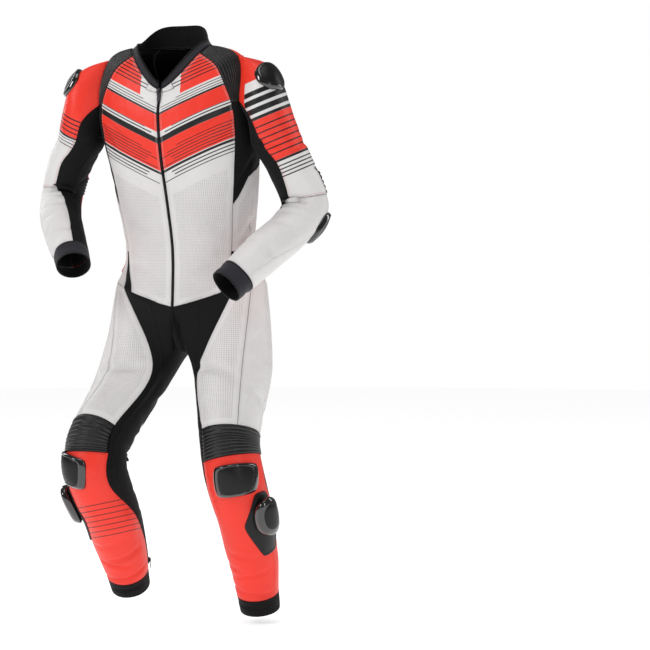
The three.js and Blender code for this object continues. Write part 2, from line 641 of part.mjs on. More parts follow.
const PLAIN_PANELS = {
  front_zip: ZIP_BLACK,
  collar: COLLAR_SOFT,
  front: WHITE,
  side: WHITE,
  underarm: BLACK_STRETCH,
  back: WHITE,
  back_mesh: BLACK_STRETCH,
  hump: RED,
  sleeve_top: RED,
  sleeve_back: RED,
  sleeve_inner: BLACK_STRETCH,
  forearm_top: WHITE,
  forearm_back: RED,
  cuff: COLLAR_SOFT,
  crotch: BLACK_STRETCH,
  thigh_front: WHITE,
  thigh_outer: WHITE,
  seat: BLACK_LEATHER,
  shin: RED,
  calf: BLACK_STRETCH,
  hem: BLACK_STRETCH,
};

const suit = new THREE.Group();
suit.name = "race_suit";

const panelNames = [...new Set(quads.map((q) => q.panel))];
for (const name of panelNames) {
  const colour = PLAIN_PANELS[name.replace(/_(left|right)$/, "")];
  if (colour) suit.add(plainPanel(name, colour));
}

// Part of a grid: rows i0 to i1 and columns j0 to j1, with the columns round a closed limb.
const slice = (grid, i0, i1, j0, j1) =>
  grid.slice(i0, i1 + 1).map((row) => Array.from({ length: j1 - j0 + 1 }, (_,
    j) => row[(j0 + j) % row.length]));
// Rows and columns changed over.
const turn = (grid) => grid[0].map((_, j) => grid.map((row) => row[j]));
// A grid of the other hand, so that its faces point outward.
const handed = (grid, flip) => (flip ? grid.map((row) => [...row].reverse()) : grid);

const legRowPlaces = keyPlaces(LEG_ROWS.slice(0, -1).map((r) => r.cells));
const sleeveRowPlaces = keyPlaces(SLEEVE_ROWS.slice(0, -1).map((r) => r.cells));
const legRowAt = (name) => legRowPlaces[LEG_ROWS.findIndex((r) => r.name === name)];
const sleeveRowAt = (name) => sleeveRowPlaces[SLEEVE_ROWS.findIndex((r) => r.name === name)];

const KNEE_RIBS = 9;
const ELBOW_RIBS = 5;
const SHOULDER_RIBS = 8;
const LUMBAR_RIBS = 12;
for (const side of SIDES) {
  const name = SIDE_NAME[side];
  const left = side > 0;
  const knee = slice(legGrid[side], legRowAt("rib_top"), legRowAt("rib_end"), legKeys[3], legKeys[6]);
  suit.add(ribbedPanel(`knee_rib_${name}`, handed(knee, left), KNEE_RIBS, RIB_HEIGHT, BLACK_LEATHER));
  const elbow = slice(armGrid[side], sleeveRowAt("rib_top"), sleeveRowAt("rib_end"), sleeveKeys[1],
    sleeveKeys[3]);
  suit.add(ribbedPanel(`elbow_rib_${name}`, handed(elbow, left), ELBOW_RIBS, RIB_HEIGHT, BLACK_LEATHER));
  const band = slice(torsoGrid[side], torsoRowAt("scye"), torsoRowAt("neck"), columnAt("front"),
    columnAt("armFront"));
  suit.add(ribbedPanel(`shoulder_rib_${name}`, handed(turn(band), left), SHOULDER_RIBS, LOW_RIB_HEIGHT,
    BLACK_LEATHER));
}
const lumbarHalf = (side) =>
  slice(torsoGrid[side], torsoRowAt("belt"), torsoRowAt("waist"), columnAt("armFront"), columnAt("spine"));
const lumbar = lumbarHalf(1).map((row, i) => [...row, ...lumbarHalf(-1)[i].reverse().slice(1)]);
suit.add(ribbedPanel("lumbar", lumbar, LUMBAR_RIBS, LOW_RIB_HEIGHT, RED));

// Hard parts lie on the cloth: their points are found on it along the way they face.
const skin = quads.flatMap(({ corners }) => {
  const [a, b, c, d] = corners.map((n) => points[n]);
  return [
    [a, b, c],
    [a, c, d],
  ];
});
const REACH = 70; // how far out a point is looked for

function castOn(triangles, near, facing) {
  const ray = new THREE.Ray(near.clone().addScaledVector(facing, REACH), facing.clone().negate());
  let nearest = null;
  for (const [a, b, c] of triangles) {
    const hit = ray.intersectTriangle(a, b, c, true, new THREE.Vector3());
    if (hit && (!nearest || hit.distanceTo(ray.origin) < nearest.distanceTo(ray.origin))) nearest = hit;
  }
  if (!nearest) throw new Error(`no cloth is met from ${near.toArray().map(Math.round)}`);
  return nearest;
}

// Outlines of the hard plates as shares of their width and height, across towards the wearer's side.
const OUTLINES = {
  cup: [[-0.5, -0.16], [-0.44, 0.26], [-0.12, 0.5], [0.24, 0.46], [0.5, 0.14], [0.46, -0.24], [0.16, -0.5],
    [-0.3, -0.44]],
  elbow: [[-0.4, 0.42], [0, 0.5], [0.4, 0.42], [0.5, 0.06], [0.34, -0.34], [0, -0.5], [-0.34, -0.34],
    [-0.5, 0.06]],
  knee: [[-0.46, 0.36], [0, 0.5], [0.4, 0.44], [0.5, 0.1], [0.4, -0.3], [0.06, -0.5], [-0.36, -0.42],
    [-0.5, -0.02]],
  base: [[-0.1, 0.5], [0.3, 0.46], [0.5, 0.18], [0.5, -0.2], [0.32, -0.48], [-0.12, -0.5], [-0.34, -0.2],
    [-0.5, 0.08]],
  puck: [[-0.36, 0.42], [0.1, 0.5], [0.44, 0.32], [0.5, -0.06], [0.36, -0.44], [0, -0.5], [-0.4, -0.34],
    [-0.5, 0.08]],
};
// Rings of a plate from its underside round to its crown: size is its share of the outline and
// rise its height off the cloth.
const PLATE_RINGS = {
  cup: [[0, 0.5], [0.36, 0.5], [0.7, 0.5], [1, 0.5], [1, 4], [0.88, 8], [0.5, 9], [0, 9.5]],
  elbow: [[0, 0.5], [0.36, 0.5], [0.7, 0.5], [1, 0.5], [1, 5], [0.86, 11], [0.5, 12.5], [0, 13]],
  knee: [[0, 0.5], [0.36, 0.5], [0.7, 0.5], [1, 0.5], [1, 4.5], [0.88, 9], [0.5, 10], [0, 10.5]],
  base: [[0, 0.5], [0.36, 0.5], [0.7, 0.5], [1, 0.5], [1, 2.6], [0.94, 3.6], [0.7, 3.6], [0.36, 3.6],
    [0, 3.6]],
  puck: [[0, 0.4], [0.4, 0.4], [0.75, 0.4], [1, 8], [0.96, 21], [0.7, 29], [0, 32]],
};
const UNDER_RINGS = { cup: 4, elbow: 4, knee: 4, base: 4, puck: 3 }; // rings of the underside
const FOOT = { puck: 0.75 }; // the share of an outline that lies on what is under it
// Where each plate lies: x, y and z near the cloth, the way it faces in degrees (azimuth from the
// front towards its own side, tilt up from level), its roll, width and height.
const PLATES = {
  left: [
    { name: "shoulder_cup", shape: "cup", x: 256, y: -8, z: -50, azimuth: 60, tilt: 36, roll: 10, width: 92,
      height: 80 },
    { name: "elbow_slider", shape: "elbow", x: 343, y: 56, z: -402, azimuth: 132, tilt: -20, roll: -26,
      width: 69, height: 100 },
    { name: "knee_cap", shape: "knee", x: 178, y: -30, z: -1004, azimuth: 22, tilt: 6, roll: 4, width: 112,
      height: 84 },
    { name: "puck_base", shape: "base", x: 224, y: 20, z: -1112, azimuth: 58, tilt: 6, roll: 20, width: 98,
      height: 164 },
  ],
  right: [
    { name: "shoulder_cup", shape: "cup", x: -258, y: -6, z: -52, azimuth: 62, tilt: 36, roll: 10,
      width: 92, height: 80 },
    { name: "elbow_slider", shape: "elbow", x: -340, y: 28, z: -380, azimuth: 130, tilt: -20, roll: -26,
      width: 69, height: 100 },
    { name: "knee_cap", shape: "knee", x: -186, y: -136, z: -984, azimuth: 34, tilt: 6, roll: 6, width: 112,
      height: 84 },
    { name: "puck_base", shape: "base", x: -214, y: -66, z: -1094, azimuth: 70, tilt: 6, roll: 27,
      width: 94, height: 150 },
  ],
};
const PUCK = { width: 80, height: 102, up: 16, back: 8 };

// An outline with its corners cut, so that it has two points for each.
function rounded(corners) {
  const cut = 0.3;
  return corners.flatMap((corner, n) => {
    const [before, after] = [corners.at(n - 1), corners[(n + 1) % corners.length]];
    const towards = (other) => corner.map((v, k) => v + cut * (other[k] - v));
    return [towards(before), towards(after)];
  });
}

function facingFrame(side, place) {
  const turned = side * place.azimuth * RAD;
  const tilt = place.tilt * RAD;
  const facing = new THREE.Vector3(Math.sin(turned) * Math.cos(tilt), -Math.cos(turned) * Math.cos(tilt),
    Math.sin(tilt));
  const across = new THREE.Vector3(0, 0, 1).cross(facing).normalize();
  const up = new THREE.Vector3().crossVectors(facing, across);
  across.applyAxisAngle(facing, side * place.roll * RAD).multiplyScalar(side);
  up.applyAxisAngle(facing, side * place.roll * RAD);
  return { facing, across, up };
}

const CLEARANCE = 0.8;
const CLEARING_SPOTS = [[0, 0], [0.5, 0], [0, 0.5], [0.5, 0.5], [0.33, 0.33], [0.15, 0.15], [0.7, 0.15],
  [0.15, 0.7], [0.25, 0], [0.75, 0], [0, 0.25], [0, 0.75], [0.25, 0.75], [0.75, 0.25], [0.5, 0.25],
  [0.25, 0.5], [0.12, 0.4], [0.4, 0.12], [0.9, 0.05], [0.05, 0.9]];

function plate(name, side, place, ground, colour) {
  const { facing, across, up } = facingFrame(side, place);
  const outline = rounded(OUTLINES[place.shape]);
  if (side < 0) outline.reverse();
  const middle = new THREE.Vector3(place.x, place.y, place.z);
  const rings = PLATE_RINGS[place.shape].map(([size, rise]) => {
    const corners = size ? outline : [[0, 0]];
    const foot = Math.min(size, FOOT[place.shape] || 1);
    return corners.map(([u, v]) => {
      const way = across.clone().multiplyScalar(u * place.width).addScaledVector(up, v * place.height);
      const lying = castOn(ground, middle.clone().addScaledVector(way, foot), facing);
      return lying.addScaledVector(way, size - foot).addScaledVector(facing, rise);
    });
  });
  const triangles = ringTriangles(rings, outline.length);
  clearUnder(rings, triangles, UNDER_RINGS[place.shape], ground, facing);
  return { mesh: meshOf(name, triangles, colour), triangles };
}

// The triangles between rings of points; a ring of one point closes a face.
function ringTriangles(rings, count) {
  const triangles = [];
  for (let k = 0; k + 1 < rings.length; k += 1) {
    for (let n = 0; n < count; n += 1) {
      const next = (n + 1) % count;
      const [a, b] = [rings[k][n % rings[k].length], rings[k][next % rings[k].length]];
      const [c, d] = [rings[k + 1][next % rings[k + 1].length], rings[k + 1][n % rings[k + 1].length]];
      if (a !== b) triangles.push([a, c, b]);
      if (c !== d) triangles.push([a, d, c]);
    }
  }
  return triangles;
}

// Raises a plate, ring by ring of its underside, until it clears what it lies on everywhere.
function clearUnder(rings, triangles, underRings, ground, facing) {
  const under = new Set(rings.slice(0, underRings).flat());
  const raised = new Map();
  for (let pass = 0; pass < 6; pass += 1) {
    for (const corners of triangles.filter((t) => t.every((p) => under.has(p)))) {
      for (const [a, b] of CLEARING_SPOTS) {
        const spot = corners[0].clone().multiplyScalar(1 - a - b);
        spot.addScaledVector(corners[1], a).addScaledVector(corners[2], b);
        const need = CLEARANCE - spot.clone().sub(castOn(ground, spot, facing)).dot(facing);
        if (need <= 0) continue;
        for (const corner of corners) {
          corner.addScaledVector(facing, need);
          raised.set(corner, (raised.get(corner) || 0) + need);
        }
      }
    }
  }
  const most = Math.max(0, ...raised.values());
  for (const point of rings.slice(underRings).flat()) point.addScaledVector(facing, most * 0.6);
}

for (const side of SIDES) {
  for (const place of PLATES[SIDE_NAME[side]]) {
    const { mesh, triangles } = plate(`${place.name}_${SIDE_NAME[side]}`, side, place, skin, HARD_BLACK);
    suit.add(mesh);
    if (place.name !== "puck_base") continue;
    const { across, up } = facingFrame(side, place);
    const middle = new THREE.Vector3(place.x, place.y, place.z)
      .addScaledVector(up, PUCK.up)
      .addScaledVector(across, PUCK.back);
    const puck = { ...place, ...PUCK, shape: "puck", x: middle.x, y: middle.y, z: middle.z };
    suit.add(plate(`knee_puck_${SIDE_NAME[side]}`, side, puck, triangles, HARD_BLACK).mesh);
  }
}

// Zips. A slider's side view as pairs along the zip and out from it, with the window its pull
// turns in, and the pull tab's outline as pairs across and along.
const SLIDER = { width: 6, side: [[-7, 0], [7, 0], [7, 2.4], [4.6, 2.4], [3.6, 6.4], [-3.6, 6.4],
  [-4.6, 2.4], [-7, 2.4]] };
const SLIDER_WINDOW = [[-2.2, 2.6], [2.2, 2.6], [2.2, 5.4], [-2.2, 5.4]];
const PIN_RISE = 4;
const TAB = { thick: 1.4, outline: [[-5, -0.8], [5, -0.8], [5, 8], [3.6, 12], [3.6, 25], [2.2, 27],
  [-2.2, 27], [-3.6, 25], [-3.6, 12], [-5, 8]] };
const TAB_WINDOW = [[-3.6, 0.8], [3.6, 0.8], [3.6, 6.4], [-3.6, 6.4]];
const SLIDER_LIFT = 0.8;
const SLIDER_SINK = -0.6; // the calf zips' sliders are joined to their chains

const manifold = await Module();
manifold.setup();

function solid(geometry) {
  const plain = new THREE.BufferGeometry().setAttribute("position",
    (geometry.index ? geometry.toNonIndexed() : geometry).getAttribute("position"));
  const merged = mergeVertices(plain, 1e-3);
  const data = { numProp: 3, vertProperties: merged.attributes.position.array,
    triVerts: new Uint32Array(merged.index.array) };
  return new manifold.Manifold(new manifold.Mesh(data));
}

function joined(first, second) {
  const mesh = solid(first).add(solid(second)).getMesh();
  const geometry = new THREE.BufferGeometry();
  geometry.setAttribute("position", new THREE.BufferAttribute(new Float32Array(mesh.vertProperties),
    mesh.numProp));
  geometry.setIndex(new THREE.BufferAttribute(new Uint32Array(mesh.triVerts), 1));
  geometry.computeVertexNormals();
  return geometry;
}

function extrude(outline, hole, depth) {
  const toPath = (pairs) => pairs.map(([x, y]) => new THREE.Vector2(x, y));
  const shape = new THREE.Shape(toPath(outline));
  shape.holes.push(new THREE.Path(toPath(hole)));
  return new THREE.ExtrudeGeometry(shape, { depth, bevelEnabled: false }).translate(0, 0, -depth / 2);
}

// A slider and its pull at a point of a zip. down runs along the zip, facing away from the body.
function zipSlider(point, down, facing, lift) {
  const out = facing.clone().addScaledVector(down, -facing.dot(down)).normalize();
  const across = new THREE.Vector3().crossVectors(down, out);
  const base = point.clone().addScaledVector(out, lift);
  const pin = base.clone().addScaledVector(out, PIN_RISE);
  const slider = extrude(SLIDER.side, SLIDER_WINDOW, SLIDER.width);
  slider.applyMatrix4(new THREE.Matrix4().makeBasis(down, out, across).setPosition(base));
  const pull = extrude(TAB.outline, TAB_WINDOW, TAB.thick);
  pull.applyMatrix4(new THREE.Matrix4().makeBasis(across, down, out).setPosition(pin));
  return { slider, pull, pin, across };
}

function addPart(name, geometry, colour) {
  const mesh = new THREE.Mesh(geometry, new THREE.MeshStandardMaterial(colour));
  mesh.name = name;
  suit.add(mesh);
  return mesh;
}

// A pull tab, with its hinge in metres for the record: it turns outward round this axis.
function addPull(name, { pull, pin, across }) {
  const metres = (v) => v.toArray().map((n) => Math.round(n * 100) / 1e5);
  const axis = across.toArray().map((n) => Math.round(n * 1e4) / 1e4);
  addPart(name, pull, ZIP_METAL).userData.pin = { pos: metres(pin), axis };
}

const ZIP_TOP = { level: 6.72, drop: 0.4 };
const zipTop = torsoPoint(1, 0, ZIP_TOP.level);
const zipDown = torsoPoint(1, 0, ZIP_TOP.level - ZIP_TOP.drop).sub(zipTop).normalize();
const ahead = new THREE.Vector3(0, -1, 0);
const frontZip = zipSlider(castOn(skin, zipTop, ahead), zipDown, ahead, SLIDER_LIFT);
addPart("front_slider", frontZip.slider, ZIP_METAL);
addPull("front_pull", frontZip);

// The calf zips lie on the calf panel by its inner seam: ring places and angles of their ends.
const CALF_ZIP = { from: 4.3, to: 5.9, angleFrom: 232, angleTo: 238, half: 5, lift: 1, thick: 1.6,
  steps: 6 };
for (const side of SIDES) {
  const rings = LEG_RINGS[SIDE_NAME[side]];
  const at = (t) => {
    const place = CALF_ZIP.from + (CALF_ZIP.to - CALF_ZIP.from) * t;
    const angle = CALF_ZIP.angleFrom + (CALF_ZIP.angleTo - CALF_ZIP.angleFrom) * t;
    const point = limbPoint(rings, side, place, angle, [0, 0, -1]);
    const facing = point.clone().sub(limbFrame(rings, side, place, [0, 0, -1]).centre).normalize();
    return { point, facing };
  };
  const sections = [];
  for (let i = 0; i <= CALF_ZIP.steps; i += 1) {
    const t = i / CALF_ZIP.steps;
    const { point, facing } = at(t);
    const along = at(Math.min(1, t + 0.1)).point.sub(at(Math.max(0, t - 0.1)).point).normalize();
    const across = new THREE.Vector3().crossVectors(along, facing).normalize();
    const row = (rise, order) =>
      order.map((u) =>
        castOn(skin, point.clone().addScaledVector(across, u * CALF_ZIP.half),
          facing).addScaledVector(facing, rise),
      );
    sections.push([...row(CALF_ZIP.lift, [-1, 0, 1]), ...row(CALF_ZIP.lift + CALF_ZIP.thick, [1, 0, -1])]);
  }
  const triangles = [];
  const count = sections[0].length;
  for (let i = 0; i < CALF_ZIP.steps; i += 1) {
    for (let n = 0; n < count; n += 1) {
      const next = (n + 1) % count;
      const [a, b, c, d] = [sections[i][n], sections[i][next], sections[i + 1][next], sections[i + 1][n]];
      triangles.push([a, c, b], [a, d, c]);
    }
  }
  const cap = (p) => [[p[0], p[5], p[1]], [p[5], p[4], p[1]], [p[1], p[4], p[2]], [p[4], p[3], p[2]]];
  triangles.push(...cap(sections[0]).map((t) => t.reverse()), ...cap(sections.at(-1)));
  const name = `calf_zip_${SIDE_NAME[side]}`;
  const chain = meshOf(name, triangles, ZIP_BLACK);
  const end = at(0.93);
  const foot = castOn(triangles, end.point, end.facing);
  const down = at(0.99).point.sub(at(0.87).point).normalize();
  const calfZip = zipSlider(foot, down, end.facing, SLIDER_SINK);
  addPart(name, joined(chain.geometry, calfZip.slider), ZIP_BLACK);
  addPull(`${name}_pull`, calfZip);
}

export default suit;
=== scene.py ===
"""The looks of a one-piece motorcycle race suit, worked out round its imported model."""

import json
import math

import bmesh
import bpy
import numpy as np
from mathutils import Matrix, Quaternion, Vector
from mathutils.bvhtree import BVHTree
from mathutils.kdtree import KDTree

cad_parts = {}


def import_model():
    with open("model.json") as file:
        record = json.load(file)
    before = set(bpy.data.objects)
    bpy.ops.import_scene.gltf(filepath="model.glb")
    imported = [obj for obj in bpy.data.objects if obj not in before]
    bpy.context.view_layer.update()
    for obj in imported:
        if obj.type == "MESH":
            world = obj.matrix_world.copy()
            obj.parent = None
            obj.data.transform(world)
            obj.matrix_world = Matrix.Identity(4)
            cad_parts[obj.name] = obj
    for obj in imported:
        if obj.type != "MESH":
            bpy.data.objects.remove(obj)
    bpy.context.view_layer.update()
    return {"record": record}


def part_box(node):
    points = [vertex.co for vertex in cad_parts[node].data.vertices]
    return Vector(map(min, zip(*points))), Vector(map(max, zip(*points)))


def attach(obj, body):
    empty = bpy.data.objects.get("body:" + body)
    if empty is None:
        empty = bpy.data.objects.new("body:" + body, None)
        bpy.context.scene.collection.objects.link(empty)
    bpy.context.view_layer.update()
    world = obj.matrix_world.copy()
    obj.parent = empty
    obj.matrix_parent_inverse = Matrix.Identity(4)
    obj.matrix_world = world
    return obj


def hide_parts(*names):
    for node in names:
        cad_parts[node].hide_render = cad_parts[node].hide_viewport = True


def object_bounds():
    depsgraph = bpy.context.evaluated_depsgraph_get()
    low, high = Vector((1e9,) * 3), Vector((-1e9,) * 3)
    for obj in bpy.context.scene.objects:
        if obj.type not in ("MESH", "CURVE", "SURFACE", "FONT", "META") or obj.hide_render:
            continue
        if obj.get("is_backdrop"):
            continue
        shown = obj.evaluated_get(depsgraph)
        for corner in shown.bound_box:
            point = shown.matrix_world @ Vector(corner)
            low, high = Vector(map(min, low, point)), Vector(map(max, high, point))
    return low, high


bl_info = {
    "name": "Race suit",
    "version": (1, 0, 0),
    "blender": (4, 5, 0),
    "location": "3D View > Sidebar > Race suit",
    "description": "Builds the panels, ribs, plates and zips of a one-piece race suit",
    "category": "Add Mesh",
}

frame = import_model()

MM = 0.001
BODY = "suit"
SIDES = (1, -1)  # the wearer's left and right
SIDE_NAME = {1: "left", -1: "right"}
ZIP_HALF = 3.4  # the leather laps over the tape to this far from the zip's middle


def named(columns, rows):
    """A table as one array for each named column."""
    return {name: np.array(values, float) for name, values in zip(columns.split(), zip(*rows))}


# The form of the suit in millimetres: the front faces -Y and the wearer's left is +X.
# Torso rings from the hip seam to the neck seam.
TORSO_RINGS = named(
    "z_front z_side z_back x y half fore aft square vee flat",
    [
        (-592, -530, -614, 6, 92, 192, 112, 124, 2.2, 1.1, 3),
        (-560, -506, -573, 7, 90, 180, 109, 118, 2.2, 1.4, 3.5),
        (-450, -462, -397, 10, 80, 163, 106, 98, 2.3, 2, 3.5),
        (-340, -330, -300, 8, 68, 178, 120, 103, 2.3, 2, 2),
        (-215, -192, -200, 3, 50, 197, 130, 112, 2.3, 2, 2),
        (-135, -95, -100, 0, 36, 206, 120, 112, 2.3, 2, 2),
        (-94, 10, 0, 0, 16, 170, 92, 88, 2.2, 2, 2),
        (-74, 34, 38, 0, 0, 102, 74, 74, 2, 1.5, 2),
    ],
)
HUMP = {"height": 26, "spread": 34, "level": 5.1, "reach": 1.5}
COLLAR_RINGS = named(
    "z_front z_side z_back x y half fore aft square vee flat",
    [
        (-74, 34, 38, 0, 0, 102, 74, 74, 2, 1.5, 2),
        (-68, 40, 62, 0, -1, 93, 73, 72, 2, 1.3, 3),
        (-61, 44, 90, 0, -3, 88, 69, 72, 2, 1.2, 4.5),
    ],
)

# Seams of half the torso, from the centre front round to the centre back. The net's rows give the
# angle and the level of every seam where they cross it.
TORSO_COLUMNS = "centre zip front gusset armFront armBack back hump spine".split()
TORSO_CELLS = [1, 4, 1, 3, 2, 2, 2, 2]
TORSO_ROWS = "hip belt waist flank armpit scye point neck".split()
TORSO_ROW_CELLS = [1, 4, 3, 3, 3, 4, 3]
TORSO_ANGLES = np.array(
    [
        (0, 0, 36, 48, 68, 100, 147, 167, 180),
        (0, 0, 42, 51, 70, 98, 147, 167, 180),
        (0, 0, 55, 58, 73, 97, 150, 168, 180),
        (0, 0, 56, 62, 76, 98, 112, 166, 180),
        (0, 0, 58, 65, 80, 98, 126, 171, 180),
        (0, 0, 54, 57, 62, 107, 137, 158, 180),
        (0, 0, 52, 60, 82, 101, 113, 146, 180),
        (0, 0, 60, 66, 86, 98, 104, 142, 180),
    ],
    float,
)
TORSO_LEVELS = np.array(
    [
        (0, 0, 0, 0, 0, 0, 0, 0, 0),
        (1, 1, 1, 1, 1, 1, 1, 1, 1),
        (2, 2, 2, 2, 2, 2, 2, 2, 2),
        (3, 3, 2.9, 3.02, 3.36, 3.55, 3.6, 3.2, 3),
        (4, 4, 4, 4.05, 4.15, 4.15, 4.3, 3.75, 3.55),
        (5, 5, 5, 5, 5, 5, 5, 5, 5),
        (6, 6, 5.8, 5.9, 6, 5.85, 6.5, 6.2, 6.1),
        (7, 7, 7, 7, 7, 7, 7, 7, 7),
    ],
    float,
)

ARM_COLUMNS = "x y z lateral front seam_front rib_front seam_back seam_inner"
ARM_RINGS = {
    1: named(
        ARM_COLUMNS,
        [
            (232, 14, -104, 80, 72, -22, 60, 122, 240),
            (257, 27, -186, 58, 64, -12, 84, 148, 240),
            (286, 44, -252, 54, 59, 0, 96, 165, 246),
            (315, 72, -345, 57, 44, -34, 104, 176, 252),
            (298, 13, -408, 55, 46, -60, 96, 174, 254),
            (259, -54, -460, 50, 50, -66, 80, 168, 254),
            (219, -108, -514, 44, 45, -66, 70, 160, 254),
            (199, -136, -541, 41, 43, -66, 70, 160, 254),
        ],
    ),
    -1: named(
        ARM_COLUMNS,
        [
            (-232, 14, -104, 80, 72, -22, 60, 122, 240),
            (-260, 23, -182, 57, 62, -14, 84, 148, 240),
            (-295, 32, -240, 52, 58, -2, 96, 165, 246),
            (-323, 41, -319, 52, 50, -6, 104, 180, 256),
            (-299, -11, -374, 51, 47, -30, 96, 176, 258),
            (-262, -58, -420, 48, 50, -34, 84, 170, 258),
            (-224, -100, -466, 43, 45, -28, 76, 164, 258),
            (-206, -122, -492, 41, 43, -28, 76, 164, 258),
        ],
    ),
}
CAP_AXIS = (0.93, 0.06, -0.36)  # which way the shoulder ring faces, x towards its side
SLEEVE_CELLS = [4, 2, 5, 7]
SLEEVE_ROWS = "armhole rib_top rib_end cuff end".split()
SLEEVE_ROW_CELLS = [6, 2, 6, 1]
SLEEVE_PLACES = [0, 3.3, 3.85, 7, 8]

LEG_COLUMNS = "x y z lateral front twist"
LEG_RINGS = {
    1: named(
        LEG_COLUMNS,
        [
            (116, 88, -738, 97, 104, 6),
            (134, 30, -898, 72, 80, 6),
            (148, 10, -958, 70, 76, 4),
            (160, 14, -1018, 70, 74, 0),
            (169, 52, -1112, 67, 70, 0),
            (171, 90, -1206, 61, 61, 0),
            (170, 122, -1294, 52, 52, 0),
            (169, 136, -1336, 49, 49, 0),
        ],
    ),
    -1: named(
        LEG_COLUMNS,
        [
            (-122, 70, -738, 100, 106, -8),
            (-157, -70, -898, 73, 80, -4),
            (-161, -96, -948, 72, 77, 0),
            (-158, -94, -1000, 72, 76, 8),
            (-150, -42, -1088, 68, 72, 8),
            (-157, 24, -1178, 62, 62, 4),
            (-165, 78, -1254, 53, 53, 0),
            (-169, 104, -1294, 49, 49, 0),
        ],
    ),
}
CROTCH_Z = -712
CROTCH_CELLS = 6
LEG_CELLS = TORSO_CELLS + [3, 3]
# Angles round the leg of the torso's seams and then of those under the crotch, ring by ring.
LEG_ANGLES = np.array(
    [
        (-62, -58, -42, -36, 33, 92, 166, 188, 208, 250, 288),
        (-72, -68, -54, -48, 34, 92, 162, 186, 206, 246, 282),
        (-78, -74, -58, -52, 30, 86, 140, 170, 200, 240, 276),
        (-86, -82, -64, -58, 18, 70, 104, 150, 192, 236, 268),
        (-108, -105, -96, -92, -6, 62, 132, 158, 184, 220, 248),
        (-122, -120, -114, -111, -14, 58, 146, 166, 186, 214, 236),
        (-122, -120, -115, -112, -16, 58, 150, 169, 188, 216, 236),
        (-122, -120, -115, -112, -16, 58, 150, 169, 188, 216, 236),
    ],
    float,
)
LEG_ROWS = "hip thigh rib_top rib_end hem end".split()
LEG_ROW_CELLS = [4, 4, 2, 6, 1]
LEG_PLACES = [0, 1, 2, 3, 7, 8]


def pick(values, index):
    """values[index], where each point may have a column of its own."""
    return values[index] if values.ndim == 1 else values[index, np.arange(values.shape[1])]


def smooth(values, place):
    """A smooth value through a list, at fractional places in it."""
    values = np.asarray(values, float)
    place = np.asarray(place, float)
    last = len(values) - 1
    low = np.clip(np.floor(place).astype(int), 0, last - 1)
    t = place - low
    a, b, c, d = (pick(values, np.clip(low + n, 0, last)) for n in (-1, 0, 1, 2))
    if a.ndim > t.ndim:
        t = t[:, None]
    return b + 0.5 * t * (c - a + t * (2 * a - 5 * b + 4 * c - d + t * (3 * (b - c) + d - a)))


def straight(values, place):
    """A straight-line value through a list, at fractional places in it."""
    values = np.asarray(values, float)
    place = np.asarray(place, float)
    low = np.clip(np.floor(place).astype(int), 0, len(values) - 2)
    first, second = pick(values, low), pick(values, low + 1)
    return first + (second - first) * (place - low)


def row_at(table, place):
    return {name: smooth(values, place) for name, values in table.items()}


def grid_lines(cells):
    """The fractional key place of each grid line of a run of cells."""
    lines = [key + i / n for key, n in enumerate(cells) for i in range(n)]
    return np.array(lines + [len(cells)])


def key_places(cells):
    return np.concatenate([[0], np.cumsum(cells)])


def unit(v):
    return v / np.linalg.norm(v, axis=-1, keepdims=True)


def signed_power(value, exponent):
    return np.sign(value) * np.abs(value) ** exponent


def ring_points(ring, side, angle):
    """Points of rings at angles in degrees: 0 is the front, 90 the side, 180 the back."""
    s, c = np.sin(np.radians(angle)), np.cos(np.radians(angle))
    front = c > 0
    bend = 1 - np.abs(s) ** np.where(front, ring["vee"], ring["flat"])
    x = ring["x"] + side * ring["half"] * signed_power(s, 2 / ring["square"])
    y = ring["y"] - np.where(front, ring["fore"], ring["aft"]) * signed_power(c, 2 / ring["square"])
    z = ring["z_side"] + (np.where(front, ring["z_front"], ring["z_back"]) - ring["z_side"]) * bend
    return np.stack([x, y, z], -1)


def zip_angle(ring):
    return np.degrees(np.arcsin((ZIP_HALF / ring["half"]) ** (ring["square"] / 2)))


def torso_points(side, row, column):
    """Points of the torso at places counted in its key rows and columns."""
    angles = np.stack([smooth(a, row) for a in TORSO_ANGLES.T])
    levels = np.stack([smooth(a, row) for a in TORSO_LEVELS.T])
    angles[1] = zip_angle(row_at(TORSO_RINGS, levels[1]))
    angle, level = straight(angles, column), straight(levels, column)
    found = ring_points(row_at(TORSO_RINGS, level), side, angle)
    along = (level - HUMP["level"]) / HUMP["reach"]
    across = (180 - angle) / HUMP["spread"]
    found[:, 1] += HUMP["height"] * np.exp(-across * across - along * along)
    return found


def collar_points(side, row, column):
    ring = row_at(COLLAR_RINGS, 2 * row)
    angles = np.repeat(TORSO_ANGLES[-1][:, None], len(column), 1)
    angles[1] = zip_angle(ring)
    return ring_points(ring, side, straight(angles, column))


def limb_frame(rings, side, place, first_axis):
    """The middle of a limb's rings, and their outward and forward directions."""

    def centre(t):
        return np.stack([smooth(rings[k], t) for k in "xyz"], -1)

    step = 0.3
    last = len(rings["x"]) - 1
    axis = unit(centre(np.minimum(place + step, last)) - centre(np.maximum(place - step, 0)))
    start = np.array([side * first_axis[0], first_axis[1], first_axis[2]])
    share = np.maximum(0, 1 - place)[:, None]
    axis = unit(axis + (start - axis) * share)
    out = np.array([side, 0.0, 0.0]) - axis * (side * axis[:, :1])
    out = unit(out)
    front = unit(np.cross(axis, out) * side)
    return centre(place), out, front


def limb_ring_points(rings, side, place, angle, first_axis):
    centre, out, front = limb_frame(rings, side, place, first_axis)
    turn = np.radians(angle)
    sideways = (smooth(rings["lateral"], place) * np.sin(turn))[:, None]
    forward = (smooth(rings["front"], place) * np.cos(turn))[:, None]
    return centre + out * sideways + front * forward


